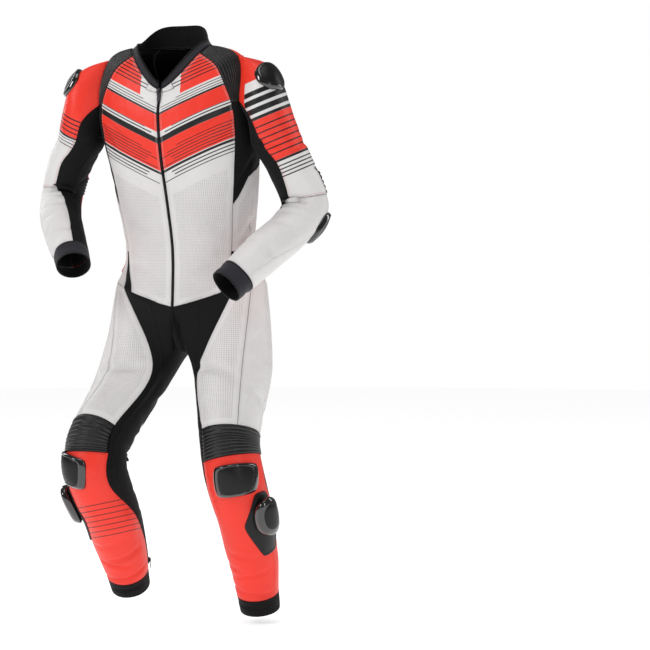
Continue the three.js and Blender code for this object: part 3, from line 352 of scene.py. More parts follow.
def limb_points(rings, side, place, k, loop, before, angle_at, first_axis):
    """Points of a limb that grows out of a loop: the loop is at place 0, and the rings follow it."""
    found = np.empty((len(place), 3))
    far = place >= 2
    if far.any():
        at = place[far] - 1
        found[far] = limb_ring_points(rings, side, at, angle_at(at, k[far]), first_axis)
    near = ~far
    if near.any():
        kn = k[near]
        knots = [before(kn), loop(kn)]
        for n in range(3):
            at = np.full(len(kn), float(n))
            knots.append(limb_ring_points(rings, side, at, angle_at(at, kn), first_axis))
        found[near] = smooth(np.stack(knots), place[near] + 1)
    return found


def armhole_path():
    """The armhole as key places of the torso's rows and columns, from the front notch over the top."""
    row_places, column_places = key_places(TORSO_ROW_CELLS), key_places(TORSO_CELLS)
    front, back = (column_places[TORSO_COLUMNS.index(n)] for n in ("armFront", "armBack"))
    low, notch, top = (row_places[TORSO_ROWS.index(n)] for n in ("armpit", "scye", "point"))
    path = [(i, front) for i in range(notch, top)]
    path += [(top, j) for j in range(front, back)]
    path += [(i, back) for i in range(top, low, -1)]
    path += [(low, j) for j in range(back, front, -1)]
    path += [(i, front) for i in range(low, notch + 1)]
    path = np.array(path, float)
    rows = straight(grid_lines(TORSO_ROW_CELLS), path[:, 0])
    columns = straight(grid_lines(TORSO_CELLS), path[:, 1])
    return rows, columns


ARMHOLE = armhole_path()


def arm_points(side, row, column):
    place = straight(SLEEVE_PLACES, row)
    k = straight(key_places(SLEEVE_CELLS), column)
    rings = ARM_RINGS[side]
    inside = np.array([side * 120, 30, -85])

    def loop(kk):
        return torso_points(side, straight(ARMHOLE[0], kk), straight(ARMHOLE[1], kk))

    def before(kk):
        return loop(kk) * 0.65 + inside * 0.35

    def angle_at(at, kk):
        keys = [smooth(rings[n], at) for n in ARM_COLUMNS.split()[5:]]
        keys.append(keys[0] + 360)
        return straight(np.stack(keys), straight(grid_lines(SLEEVE_CELLS), kk))

    return limb_points(rings, side, place, k, loop, before, angle_at, CAP_AXIS)


def leg_points(side, row, column):
    place = straight(LEG_PLACES, row)
    k = straight(key_places(LEG_CELLS), column)
    rings = LEG_RINGS[side]
    hips = sum(TORSO_CELLS)
    hip = {name: values[0] for name, values in TORSO_RINGS.items()}
    step_in = np.array([-side * 60, 0, 12])
    level_above = 1.25  # the torso row that sets how the leg leaves the hip

    def torso_row(level, kk):
        columns = straight(grid_lines(TORSO_CELLS), np.minimum(kk, hips))
        return torso_points(side, 0 * kk + level, columns)

    def under(kk):
        turn = np.pi * (kk - hips) / CROTCH_CELLS
        rear = turn < np.pi / 2
        reach = np.where(rear, hip["aft"], hip["fore"]) * np.cos(turn)
        end_z = np.where(rear, hip["z_back"], hip["z_front"])
        rise = np.abs(np.sin(turn)) ** 0.8
        z = end_z + (CROTCH_Z - end_z) * rise
        return np.stack([np.full(len(kk), hip["x"]), hip["y"] + reach, z], -1)

    def loop(kk):
        return np.where((kk <= hips)[:, None], torso_row(0, kk), under(kk))

    def before(kk):
        inner = under(np.clip(kk, hips + 1, hips + CROTCH_CELLS - 1)) + step_in
        first = np.clip(kk - hips, 0, 1)[:, None]
        last = np.clip(kk - (hips + CROTCH_CELLS - 1), 0, 1)[:, None]
        mixed = torso_row(level_above, kk) * (1 - first) + inner * first
        return mixed * (1 - last) + torso_row(level_above, 0 * kk) * last

    def angle_at(at, kk):
        keys = np.stack([smooth(a, at) for a in LEG_ANGLES.T]) + smooth(rings["twist"], at)
        keys[-1] = keys[0] + 360
        return straight(keys, straight(grid_lines(LEG_CELLS), kk))

    return limb_points(rings, side, place, k, loop, before, angle_at, (0, 0, -1))


SURFACES = {"torso": torso_points, "collar": collar_points, "sleeve": arm_points, "leg": leg_points}
# The fine cells of each stretch between key rows and between key columns.
GRIDS = {
    "torso": (TORSO_ROWS, [6, 20, 20, 22, 16, 18, 12], TORSO_COLUMNS, [1, 26, 3, 9, 12, 12, 10, 12]),
    "collar": (["seam", "edge"], [10], TORSO_COLUMNS, [1, 26, 3, 9, 12, 12, 10, 12]),
    "sleeve": (SLEEVE_ROWS, [54, 9, 36, 7], list(range(5)), [17, 12, 16, 18]),
    "leg": (LEG_ROWS, [30, 28, 10, 62, 9], list(range(11)), [1, 12, 3, 20, 12, 12, 7, 7, 12, 12]),
}

# Folds of the worn cloth, as places on its form: where each starts and ends, its half width and
# its depth in millimetres. A fold on a limb is given by ring places and angles round the limb, and
# one on the torso by levels and angles round the body.
FOLDS = {
    ("sleeve", 1): named(
        "from_place from_angle to_place to_angle width depth",
        [
            (2.55, -50, 2.95, 40, 8, 2.6),
            (2.95, -70, 3.2, 30, 7, 3.0),
            (3.25, 20, 3.35, -80, 7, 3.4),
            (3.62, -75, 3.5, 15, 6, 2.6),
            (3.95, -60, 3.8, 40, 7, 2.2),
            (4.35, -20, 4.15, 60, 8, 1.8),
            (4.9, 20, 5.3, 110, 9, 2.0),
            (5.3, -70, 5.05, 10, 8, 1.7),
            (5.8, -20, 6.1, 80, 7, 1.8),
            (6.2, 90, 6.45, 190, 7, 1.7),
            (6.4, -80, 6.3, 10, 6, 1.6),
            (5.5, 150, 5.75, 250, 8, 1.6),
            (1.3, 60, 1.75, 150, 11, 2.0),
            (1.8, 20, 1.5, 110, 9, 1.8),
            (2.2, 70, 2.5, 170, 10, 2.0),
            (0.8, -40, 1.3, 30, 10, 2.2),
            (1.0, 190, 1.5, 280, 10, 2.4),
            (2.0, 200, 2.3, 300, 9, 2.2),
        ],
    ),
    ("sleeve", -1): named(
        "from_place from_angle to_place to_angle width depth",
        [
            (2.45, -60, 2.8, 30, 8, 2.6),
            (2.9, -60, 3.1, 45, 7, 3.2),
            (3.3, 30, 3.25, -75, 7, 3.2),
            (3.7, -80, 3.55, 20, 6, 2.5),
            (4.05, -50, 3.9, 50, 7, 2.4),
            (4.5, -10, 4.3, 75, 8, 2.0),
            (4.8, 10, 5.25, 95, 9, 2.1),
            (5.45, -65, 5.2, 25, 8, 1.9),
            (5.75, -10, 6.05, 90, 7, 1.8),
            (6.3, 80, 6.5, 180, 7, 1.8),
            (6.45, -70, 6.3, 20, 6, 1.6),
            (5.4, 160, 5.7, 255, 8, 1.6),
            (1.2, 60, 1.7, 145, 11, 2.2),
            (1.85, 15, 1.55, 100, 9, 1.8),
            (2.15, 80, 2.5, 175, 10, 2.0),
            (0.7, -45, 1.2, 25, 10, 2.2),
            (0.9, 190, 1.45, 285, 10, 2.4),
            (2.05, 205, 2.35, 300, 9, 2.0),
        ],
    ),
    ("leg", 1): named(
        "from_place from_angle to_place to_angle width depth",
        [
            (-0.4, -30, 0.3, 35, 16, 3.2),
            (-0.2, -50, 0.1, 20, 12, 2.6),
            (0.35, 50, 0.75, 130, 15, 2.2),
            (0.2, 190, 0.6, 262, 15, 3.6),
            (0.45, 170, 0.85, 250, 13, 2.8),
            (0.85, 200, 0.7, 280, 12, 2.4),
            (0.9, -50, 1.3, 20, 12, 1.8),
            (1.35, 150, 1.5, 240, 11, 3.0),
            (1.75, 140, 1.85, 235, 10, 3.6),
            (2.15, 135, 2.2, 240, 9, 4.0),
            (2.55, 140, 2.5, 245, 9, 3.6),
            (3.0, 150, 2.95, 240, 10, 3.0),
            (3.5, 170, 3.7, 245, 11, 2.2),
            (4.5, -40, 4.75, 45, 9, 1.6),
            (4.9, -90, 5.1, 5, 9, 2.2),
            (5.3, -60, 5.15, 60, 8, 2.4),
            (5.55, -110, 5.75, 0, 8, 2.6),
            (5.85, 70, 5.7, -20, 7, 2.4),
            (6.05, 150, 6.2, 240, 8, 2.4),
            (6.2, -80, 6.35, 40, 7, 1.8),
            (5.2, 150, 5.4, 235, 9, 2.2),
            (4.3, 160, 4.5, 240, 10, 2.0),
        ],
    ),
    ("leg", -1): named(
        "from_place from_angle to_place to_angle width depth",
        [
            (-0.45, -25, 0.25, 40, 16, 3.4),
            (-0.15, -45, 0.15, 25, 12, 2.6),
            (0.4, 45, 0.8, 125, 15, 2.4),
            (0.15, 190, 0.55, 265, 15, 3.4),
            (0.5, 165, 0.9, 248, 13, 2.8),
            (0.8, 200, 0.65, 282, 12, 2.4),
            (0.95, -60, 1.3, 15, 12, 2.0),
            (1.4, 150, 1.5, 238, 11, 3.2),
            (1.8, 140, 1.85, 240, 10, 3.8),
            (2.2, 140, 2.25, 242, 9, 4.2),
            (2.6, 138, 2.5, 244, 9, 3.8),
            (3.05, 150, 3.0, 245, 10, 3.0),
            (3.6, 170, 3.75, 245, 11, 2.2),
            (4.45, -30, 4.7, 50, 9, 1.8),
            (4.85, -80, 5.05, 10, 9, 2.4),
            (5.3, -50, 5.1, 55, 8, 2.6),
            (5.55, -100, 5.8, 5, 8, 2.6),
            (5.9, 65, 5.7, -25, 7, 2.6),
            (6.1, 145, 6.2, 238, 8, 2.4),
            (6.25, -70, 6.4, 45, 7, 1.8),
            (5.15, 150, 5.4, 238, 9, 2.2),
            (4.2, 165, 4.45, 242, 10, 2.0),
        ],
    ),
}
TORSO_FOLDS = named(
    "side from_level from_angle to_level to_angle width depth",
    [
        (1, 4.9, 50, 4.4, 22, 14, 2.6),
        (1, 4.5, 58, 4.0, 34, 13, 2.4),
        (-1, 4.85, 52, 4.3, 24, 14, 2.8),
        (-1, 4.4, 56, 3.9, 36, 13, 2.2),
        (1, 2.6, 50, 2.3, 14, 14, 1.8),
        (-1, 2.7, 48, 2.35, 12, 14, 2.0),
        (1, 1.8, 46, 1.5, 12, 13, 2.0),
        (-1, 1.7, 48, 1.45, 14, 13, 1.8),
        (1, 0.9, 40, 0.5, 10, 13, 2.6),
        (-1, 0.95, 38, 0.45, 12, 13, 2.8),
        (1, 0.4, 30, 0.1, 6, 11, 2.4),
        (-1, 0.35, 34, 0.1, 8, 11, 2.2),
        (1, 2.9, 112, 2.5, 150, 13, 2.6),
        (-1, 2.95, 110, 2.55, 152, 13, 2.8),
        (1, 3.6, 118, 3.2, 150, 13, 2.2),
        (-1, 3.55, 116, 3.1, 148, 13, 2.4),
        (1, 4.9, 130, 4.4, 152, 12, 2.0),
        (-1, 4.8, 128, 4.3, 150, 12, 2.2),
        (1, 2.2, 64, 2.75, 96, 12, 2.4),
        (-1, 2.15, 66, 2.7, 98, 12, 2.4),
        (1, 3.2, 60, 3.75, 88, 11, 2.0),
        (-1, 3.15, 62, 3.7, 90, 11, 2.0),
    ],
)
FOLD_STEPS = 7
FOLD_GAIN = 1.95


def fold_lines():
    """Each fold as points along it on the cloth, with its width and depth."""
    t = np.linspace(0, 1, FOLD_STEPS)
    lines = []
    for (kind, side), table in FOLDS.items():
        rings = (ARM_RINGS if kind == "sleeve" else LEG_RINGS)[side]
        first_axis = CAP_AXIS if kind == "sleeve" else (0, 0, -1)
        for n in range(len(table["width"])):
            row = {name: values[n] for name, values in table.items()}
            place = row["from_place"] + (row["to_place"] - row["from_place"]) * t
            angle = row["from_angle"] + (row["to_angle"] - row["from_angle"]) * t
            at = np.maximum(place, 0)
            line = limb_ring_points(rings, side, at, angle, first_axis)
            lines.append((line, row["width"], row["depth"]))
    for n in range(len(TORSO_FOLDS["side"])):
        row = {name: values[n] for name, values in TORSO_FOLDS.items()}
        level = row["from_level"] + (row["to_level"] - row["from_level"]) * t
        angle = row["from_angle"] + (row["to_angle"] - row["from_angle"]) * t
        line = ring_points(row_at(TORSO_RINGS, level), row["side"], angle)
        lines.append((line, row["width"], row["depth"]))
    return lines


FOLD_LINES = fold_lines()


def fold_depth(points):
    """How far the folds push points in (below 0) or out, in millimetres."""
    pushed = np.zeros(len(points))
    for line, width, depth in FOLD_LINES:
        reach = 3 * width
        near = ((points > line.min(0) - reach) & (points < line.max(0) + reach)).all(1)
        if not near.any():
            continue
        p = points[near]
        best = np.full(len(p), np.inf)
        along = np.zeros(len(p))
        for k in range(FOLD_STEPS - 1):
            a, ab = line[k], line[k + 1] - line[k]
            t = np.clip(((p - a) @ ab) / (ab @ ab), 0, 1)
            distance = np.linalg.norm(p - a - t[:, None] * ab, axis=1)
            closer = distance < best
            best = np.where(closer, distance, best)
            along = np.where(closer, (k + t) / (FOLD_STEPS - 1), along)
        x = best / width
        taper = np.clip(np.sin(np.pi * along), 0, 1) ** 0.7
        pushed[near] -= FOLD_GAIN * depth * taper * (1 - 0.9 * x * x) * np.exp(-x * x)
    return pushed


def waviness(points):
    """The slight unevenness of filled-out leather, in millimetres."""
    x, y, z = (points / 1000).T
    slow = np.sin(31 * x + 17 * z + 2) * np.sin(23 * y - 29 * z) + np.sin(43 * z + 19 * x - 11 * y)
    fine = np.sin(83 * x - 61 * z + 37 * y) * np.sin(71 * z + 47 * y + 1)
    return 0.55 * slow + 0.3 * fine


# What each panel covers: patches of the torso, collar, sleeves and legs by key rows and columns.
# A panel on both sides is one piece across the middle; the others have a left and a right one.
BOTH = {
    "front_zip": [("torso", ("hip", "neck"), ("centre", "zip"))],
    "collar": [("collar", ("seam", "edge"), ("zip", "spine"))],
    "crotch": [
        ("torso", ("hip", "waist"), ("front", "gusset")),
        ("leg", ("hip", "rib_top"), (0, 3)),
        ("leg", ("hip", "rib_top"), (9, 10)),
    ],
    "hump": [("torso", ("armpit", "neck"), ("hump", "spine"))],
    "back": [
        ("torso", ("waist", "flank"), ("back", "spine")),
        ("torso", ("flank", "armpit"), ("back", "spine")),
        ("torso", ("armpit", "point"), ("back", "hump")),
        ("torso", ("point", "neck"), ("armBack", "hump")),
    ],
    "seat": [("leg", ("hip", "rib_top"), (6, 9))],
}
SINGLE = {
    "front": [("torso", ("hip", "neck"), ("zip", "front"))],
    "thigh_outer": [
        ("torso", ("hip", "belt"), ("gusset", "spine")),
        ("torso", ("belt", "waist"), ("gusset", "armFront")),
        ("leg", ("hip", "rib_top"), (4, 6)),
    ],
    "side": [("torso", ("waist", "flank"), ("front", "back"))],
    "underarm": [
        ("torso", ("flank", "scye"), ("front", "armFront")),
        ("torso", ("flank", "armpit"), ("armFront", "armBack")),
    ],
    "back_mesh": [("torso", ("flank", "point"), ("armBack", "back"))],
    "sleeve_top": [
        ("torso", ("point", "neck"), ("armFront", "armBack")),
        ("sleeve", ("armhole", "rib_top"), (0, 2)),
        ("sleeve", ("rib_top", "rib_end"), (0, 1)),
    ],
    "sleeve_back": [("sleeve", ("armhole", "rib_top"), (2, 3))],
    "sleeve_inner": [("sleeve", ("armhole", "cuff"), (3, 4))],
    "forearm_top": [("sleeve", ("rib_end", "cuff"), (0, 2))],
    "forearm_back": [("sleeve", ("rib_end", "cuff"), (2, 3))],
    "cuff": [("sleeve", ("cuff", "end"), (0, 4))],
    "thigh_front": [("leg", ("hip", "rib_top"), (3, 4))],
    "shin": [("leg", ("rib_end", "hem"), (3, 6))],
    "calf": [
        ("leg", ("rib_top", "hem"), (6, 10)),
        ("leg", ("rib_top", "hem"), (0, 3)),
    ],
    "hem": [("leg", ("hem", "end"), (0, 10))],
}
# Ribbed panels: how many ribs, whether they run across the rows, and their height in millimetres.
RIBBED_COLUMNS = "patch ribs along height".split()
RIBBED_ROWS = {
    "knee_rib": (("leg", ("rib_top", "rib_end"), (3, 6)), 9, False, 3.2),
    "elbow_rib": (("sleeve", ("rib_top", "rib_end"), (1, 3)), 6, False, 2.8),
    "shoulder_rib": (("torso", ("scye", "neck"), ("front", "armFront")), 9, True, 2.4),
    "lumbar": (("torso", ("belt", "waist"), ("armFront", "spine")), 16, False, 2.0),
}
RIBBED = {name: dict(zip(RIBBED_COLUMNS, row)) for name, row in RIBBED_ROWS.items()}


SEAM_RIMS = ((0.5, 1.4), (0.9, 0.5))  # each rim's width at a seam, and how deep its outer edge lies
SEAM_REACH = 22.0  # how far from a seam its stitching and shading are drawn
EDGE_STEP = 1e-3  # the step in key places from which a normal is worked out


def surface(grid, side, row, column):
    """Points of the suit's form and their outward directions."""
    find = SURFACES[grid]
    across = find(side, row, column + EDGE_STEP) - find(side, row, np.maximum(column - EDGE_STEP, 0))
    along = find(side, row + EDGE_STEP, column) - find(side, np.maximum(row - EDGE_STEP, 0), column)
    facing = np.cross(across, along)
    size = np.linalg.norm(facing, axis=1, keepdims=True)
    facing = facing / np.maximum(size, 1e-12) * handedness(grid, side)
    return find(side, row, column), facing


def handedness(grid, side):
    """1 where rows and columns of a grid turn outward, and -1 where they turn inward."""
    return side if grid in ("torso", "collar") else -side


def flat_place(grid, side, row, column, found):
    """Where points lie on the cloth laid flat, in metres: round the body or limb, and along it."""
    if grid in ("torso", "collar"):
        around = 0.16 * side * np.arctan2(np.abs(found[:, 0]), -(found[:, 1] - 50))
        return np.stack([around, found[:, 2] * MM], -1)
    place = straight(SLEEVE_PLACES if grid == "sleeve" else LEG_PLACES, row)
    rings = (ARM_RINGS if grid == "sleeve" else LEG_RINGS)[side]
    centres = np.stack([rings[k] for k in "xyz"], -1)
    steps = np.linalg.norm(np.diff(centres, axis=0), axis=1)
    run = np.concatenate([[-steps[0]], [0], np.cumsum(steps)])
    along = straight(run, np.minimum(place, 7.999))
    centre, out, front = limb_frame(rings, side, np.maximum(place - 1, 0), (0, 0, -1))
    offset = found - centre
    turn = np.arctan2((offset * out).sum(1), (offset * front).sum(1))
    return np.stack([turn * (0.052 if grid == "sleeve" else 0.076), -along * MM], -1)


def patch_lines(grid, rows, columns):
    """The key places of a patch's fine rows and columns."""
    row_names, row_cells, column_names, column_cells = GRIDS[grid]
    found = []
    for names, cells, ends in ((row_names, row_cells, rows), (column_names, column_cells, columns)):
        first, last = (key_places(cells)[names.index(n)] for n in ends)
        found.append(grid_lines(cells)[first : last + 1])
    return found


def add_patch(bm, grid, side, row_lines, column_lines, raise_by=None):
    """Adds one patch to a bmesh as a grid of cells, bent to the form of the suit."""
    n, m = len(column_lines) - 1, len(row_lines) - 1
    made = bmesh.ops.create_grid(bm, x_segments=n, y_segments=m, size=0.5)["verts"]
    place = np.array([v.co[:2] for v in made]) + 0.5
    if handedness(grid, side) < 0:
        place[:, 0] = 1 - place[:, 0]
    j = np.rint(place[:, 0] * n).astype(int)
    i = np.rint(place[:, 1] * m).astype(int)
    row, column = row_lines[i], column_lines[j]
    found, facing = surface(grid, side, row, column)
    flat = flat_place(grid, side, row, column, found)
    lift = waviness(found) + fold_depth(found)
    if raise_by:
        lift = lift + raise_by(i, j)
    found = found + facing * lift[:, None]
    for vert, at in zip(made, found * MM):
        vert.co = at
    places = {vert: at for vert, at in zip(made, flat)}
    uv = bm.loops.layers.uv["Flat"]
    for vert in made:
        for loop in vert.link_loops:
            loop[uv].uv = places[vert]


def new_bmesh():
    bm = bmesh.new()
    bm.loops.layers.uv.new("Flat")
    bm.loops.layers.uv.new("Seam")
    return bm


def rim_seams(bm):
    """Rounds the cloth down into its seams, in narrow rims round its whole edge."""
    bm.normal_update()
    depth = {v: SEAM_RIMS[0][1] for v in bm.verts if v.is_boundary}
    faces = list(bm.faces)
    for n, (width, _) in enumerate(SEAM_RIMS):
        before = set(bm.verts)
        bmesh.ops.inset_region(
            bm,
            faces=faces,
            thickness=width * MM,
            use_boundary=True,
            use_even_offset=True,
            use_interpolate=True
        )
        deeper = SEAM_RIMS[n + 1][1] if n + 1 < len(SEAM_RIMS) else 0
        depth.update({v: deeper for v in set(bm.verts) - before})
    bm.normal_update()
    places = {v: v.co - v.normal * (deep * MM) for v, deep in depth.items() if deep}
    for v, place in places.items():
        v.co = place


def edge_runs(bm):
    """The open edge of a cloth as a list of its points, each with how far round the edge it lies."""
    left = {e for e in bm.edges if e.is_boundary}
    runs = []
    while left:
        start = min(left, key=lambda e: e.index)
        left.discard(start)
        chain = [start.verts[0], start.verts[1]]
        while True:
            onward = [e for e in chain[-1].link_edges if e in left]
            if not onward:
                break
            left.discard(onward[0])
            chain.append(onward[0].other_vert(chain[-1]))
        run, gone = [], 0.0
        for n, v in enumerate(chain):
            gone += (v.co - chain[n - 1].co).length if n else 0.0
            run.append((v.co.copy(), gone))
        runs.append(run)
    return runs


def seam_places(bm):
    """Writes each point's distance from its nearest seam, and its place along it, as a UV map."""
    bm.edges.index_update()
    runs = edge_runs(bm)
    flat = [(n, k) for n, run in enumerate(runs) for k in range(len(run))]
    tree = KDTree(len(flat))
    for number, (n, k) in enumerate(flat):
        tree.insert(runs[n][k][0], number)
    tree.balance()
    far = SEAM_REACH * MM
    found = {}
    for v in bm.verts:
        _, number, distance = tree.find(v.co)
        if distance > far:
            found[v] = (0.0, 2 * far)
            continue
        n, k = flat[number]
        best = (runs[n][k][1], distance)
        for first in (k - 1, k):
            if first < 0 or first + 1 >= len(runs[n]):
                continue
            (a, begin), (b, end) = runs[n][first], runs[n][first + 1]
            ab = b - a
            if ab.length_squared == 0:
                continue
            t = min(max((v.co - a).dot(ab) / ab.length_squared, 0.0), 1.0)
            gap = (v.co - a - t * ab).length
            if gap < best[1]:
                best = (begin + (end - begin) * t, gap)
        found[v] = best
    uv = bm.loops.layers.uv["Seam"]
    for face in bm.faces:
        for loop in face.loops:
            loop[uv].uv = found[loop.vert]


SKIN = []  # the outer faces of all panels, for what lies on them


def keep_skin(bm):
    bm.verts.index_update()
    SKIN.append(([v.co.copy() for v in bm.verts], [[v.index for v in f.verts] for f in bm.faces]))


def add_object(name, bm, material, node):
    """A finished mesh as a piece that rides on the suit and stands for its CAD node."""
    mesh = bpy.data.meshes.new(name)
    bm.to_mesh(mesh)
    bm.free()
    for polygon in mesh.polygons:
        polygon.use_smooth = True
    piece = bpy.data.objects.new(name, mesh)
    bpy.context.scene.collection.objects.link(piece)
    mesh.materials.append(material)
    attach(piece, BODY)
    if node:
        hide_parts(node)
    return piece


NODE_SLOT = {row["node"]: row["material_slot"] for row in frame["record"]["subparts"]}


def thicken(piece, thick):
    wall = piece.modifiers.new("Wall", "SOLIDIFY")
    wall.thickness = thick * MM
    wall.offset = -1
    wall.use_rim = True
    wall.use_even_offset = False
    wall.material_offset = 1


def cloth_area(bm):
    return sum(f.calc_area() for f in bm.faces)


def panel(name, patches, sides, raise_by=None, lines=None):
    """Builds one cut piece of cloth from its patches, as a wall on the form of its CAD solid."""
    bm = new_bmesh()
    for side in sides:
        for grid, rows, columns in patches:
            row_lines, column_lines = lines or patch_lines(grid, rows, columns)
            add_patch(bm, grid, side, row_lines, column_lines, raise_by)
    bmesh.ops.remove_doubles(bm, verts=bm.verts, dist=0.25 * MM)
    if not raise_by:
        rim_seams(bm)
    bm.verts.ensure_lookup_table()
    bm.edges.ensure_lookup_table()
    seam_places(bm)
    bm.normal_update()
    keep_skin(bm)
    area = cloth_area(bm) / (1.5 if raise_by else 1)  # ribbed stretch is gathered by its ribs
    piece = add_object(f"{name}_cloth", bm, material_of(name), name)
    piece.data.materials.append(material_of("lining"))
    thicken(piece, bpy.context.scene.suit_cloth.wall)
    declare_sheet(name, area)
    return piece


# A flat piece is this much longer than its solid is high, and this much wider than its area asks.
SHEET_LONGER = 1.12
SHEET_SPARE = 0.02
SHEET_WIDER = 1.2


def declare_sheet(node, area):
    """Works out the length, width and area of the flat piece of leather or cloth a panel was cut from,
    and keeps none of them.
    """
    low, high = (Vector(p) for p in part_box(node))
    length = round(SHEET_LONGER * (high.z - low.z) + SHEET_SPARE, 2)
    width = round(max(SHEET_WIDER * area / length, 0.01) + 0.0005, 3)
    area = round(area, 4)


def rib_lines(name):
    """The fine rows and columns of a ribbed panel, with six steps to each rib."""
    what = RIBBED[name]
    grid, rows, columns = what["patch"]
    row_lines, column_lines = patch_lines(grid, rows, columns)
    steps = what["ribs"] * 6
    if not what["along"]:
        return np.linspace(row_lines[0], row_lines[-1], steps + 1), column_lines
    cells = {"torso": TORSO_CELLS}[grid]
    first, last = (key_places(cells)[TORSO_COLUMNS.index(n)] for n in columns)
    return row_lines, straight(grid_lines(cells), np.linspace(first, last, steps + 1))


def rib_rise(name, row_count, column_count, open_end):
    """How far each point of a ribbed panel is raised: round ribs that flatten into the seams."""
    what = RIBBED[name]

    def rise(i, j):
        turned = (j, column_count) if what["along"] else (i, row_count)
        ends = (i, row_count) if what["along"] else (j, column_count)
        wave = np.abs(np.sin(np.pi * turned[0] / 6)) ** 0.65
        start = np.clip(ends[0] / 2, 0, 1)
        stop = np.clip((ends[1] - ends[0]) / 2, 0, 1)
        fade = start * (1 if open_end else stop)
        edge = np.minimum(fade, np.clip(np.minimum(turned[0], turned[1] - turned[0]) / 2, 0, 1))
        return what["height"] * wave * fade - 0.3 - 1.1 * (1 - edge)

    return rise


class SUIT_OT_panels(bpy.types.Operator):
    """Cut and shape the plain leather and stretch panels"""

    bl_idname = "suit.panels"
    bl_label = "Panels"

    def execute(self, context):
        for name, patches in BOTH.items():
            panel(name, patches, SIDES)
        for name, patches in SINGLE.items():
            for side in SIDES:
                full = f"{name}_{SIDE_NAME[side]}"
                panel(full, patches, (side,))
        return {"FINISHED"}


class SUIT_OT_ribs(bpy.types.Operator):
    """Shape the ribbed stretch panels of the knees, elbows, shoulders and back"""

    bl_idname = "suit.ribs"
    bl_label = "Ribbed panels"

    def execute(self, context):
        for name, what in RIBBED.items():
            lines = rib_lines(name)
            counts = [len(line) - 1 for line in lines]
            both = name == "lumbar"
            rise = rib_rise(name, counts[0], counts[1], both)
            for sides in (SIDES,) if both else ((1,), (-1,)):
                full = name if both else f"{name}_{SIDE_NAME[sides[0]]}"
                panel(full, [what["patch"]], sides, rise, lines)
        return {"FINISHED"}


class SuitCloth(bpy.types.PropertyGroup):
    """Sizes and colours of the cloth"""

    wall: bpy.props.FloatProperty(
        name="Wall",
        description="Thickness of the leather with its lining, in millimetres",
        default=2.2,
        min=1,
        max=4
    )
    white: bpy.props.FloatVectorProperty(
        name="White", description="Colour of the pale leather", subtype="COLOR", default=(
            0.64, 0.625, 0.62
        )
    )
    red: bpy.props.FloatVectorProperty(
        name="Red", description="Colour of the bright leather", subtype="COLOR", default=(
            0.78, 0.03, 0.014
        )
    )
    black: bpy.props.FloatVectorProperty(
        name="Black", description="Colour of the black leather and prints", subtype="COLOR", default=(
            0.0045, 0.0045, 0.005
        )
    )
    charcoal: bpy.props.FloatVectorProperty(
        name="Charcoal", description="Colour of the collar and cuffs", subtype="COLOR", default=(
            0.016, 0.015, 0.021
        )
    )


class Value:
    """A socket of a shader that takes part in Python sums."""

    def __init__(self, paint, socket):
        self.paint = paint
        self.socket = socket

    def math(self, operation, *others, clamp=False):
        return self.paint.node(
            "ShaderNodeMath", {"operation": operation, "use_clamp": clamp}, [self, *others]
        )

    def __add__(self, other):
        return self.math("ADD", other)

    def __sub__(self, other):
        return self.math("SUBTRACT", other)

    def __rsub__(self, other):
        return self.math("MULTIPLY_ADD", -1, other)

    def __mul__(self, other):
        return self.math("MULTIPLY", other)

    def __truediv__(self, other):
        return self.math("DIVIDE", other)

    def __abs__(self):
        return self.math("ABSOLUTE")

    __radd__ = __add__
    __rmul__ = __mul__

    def over(self, limit, soft):
        """0 below a limit and 1 above it, over a soft step."""
        return ((self - limit) / soft).math("ADD", 0.5, clamp=True)

    def between(self, low, high, soft):
        return self.over(low, soft) * (1 - self.over(high, soft))

    def lines(self, pitch, share, soft=0.08):
        """Even lines across a value: 1 on a line, which takes up a share of the pitch."""
        turn = (self / pitch).math("FRACT")
        return turn.between(0.5 - share / 2, 0.5 + share / 2, soft)


class Paint:
    """A material whose shader is put together from values."""

    def __init__(self, name, **settings):
        self.material = bpy.data.materials.new(name)
        self.material.use_nodes = True
        self.tree = self.material.node_tree
        self.shader = self.tree.nodes["Principled BSDF"]
        for key, value in settings.items():
            self.put(key.replace("_", " ").title().replace("Ior", "IOR"), value)

    def feed(self, socket, value):
        if isinstance(value, Value):
            self.tree.links.new(value.socket, socket)
        else:
            socket.default_value = value

    def put(self, key, value):
        self.feed(self.shader.inputs[key], value)

    def node(self, kind, settings, inputs, output=0):
        made = self.tree.nodes.new(kind)
        for key, value in settings.items():
            setattr(made, key, value)
        pairs = inputs.items() if isinstance(inputs, dict) else enumerate(inputs)
        for key, value in pairs:
            self.feed(made.inputs[key], value)
        return Value(self, made.outputs[output])

    def spot(self):
        """The place in metres."""
        return self.node("ShaderNodeTexCoord", {}, [], "Object")

    def parts(self, vector):
        return [self.node("ShaderNodeSeparateXYZ", {}, [vector], axis) for axis in "XYZ"]

    def map(self, name):
        """The two numbers of a UV map."""
        return self.parts(self.node("ShaderNodeUVMap", {"uv_map": name}, []))[:2]

    def noise(self, spot, scale, detail=2.0):
        return self.node("ShaderNodeTexNoise", {}, {"Vector": spot, "Scale": scale, "Detail": detail})

    def cells(self, spot, scale):
        return self.node("ShaderNodeTexVoronoi", {}, {"Vector": spot, "Scale": scale})

    def mix(self, share, first, second):
        colours = [c if isinstance(c, Value) else (*c, 1) for c in (first, second)]
        settings = {"data_type": "RGBA", "clamp_factor": True}
        return self.node("ShaderNodeMix", settings, {0: share, 6: colours[0], 7: colours[1]}, 2)

    def relief(self, height):
        """Bends the light by a height in millimetres."""
        bump = {"Strength": 1.0, "Distance": MM, "Height": height}
        self.put("Normal", self.node("ShaderNodeBump", {}, bump))


def shade(colour, factor):
    return tuple(min(c * factor, 1) for c in colour)


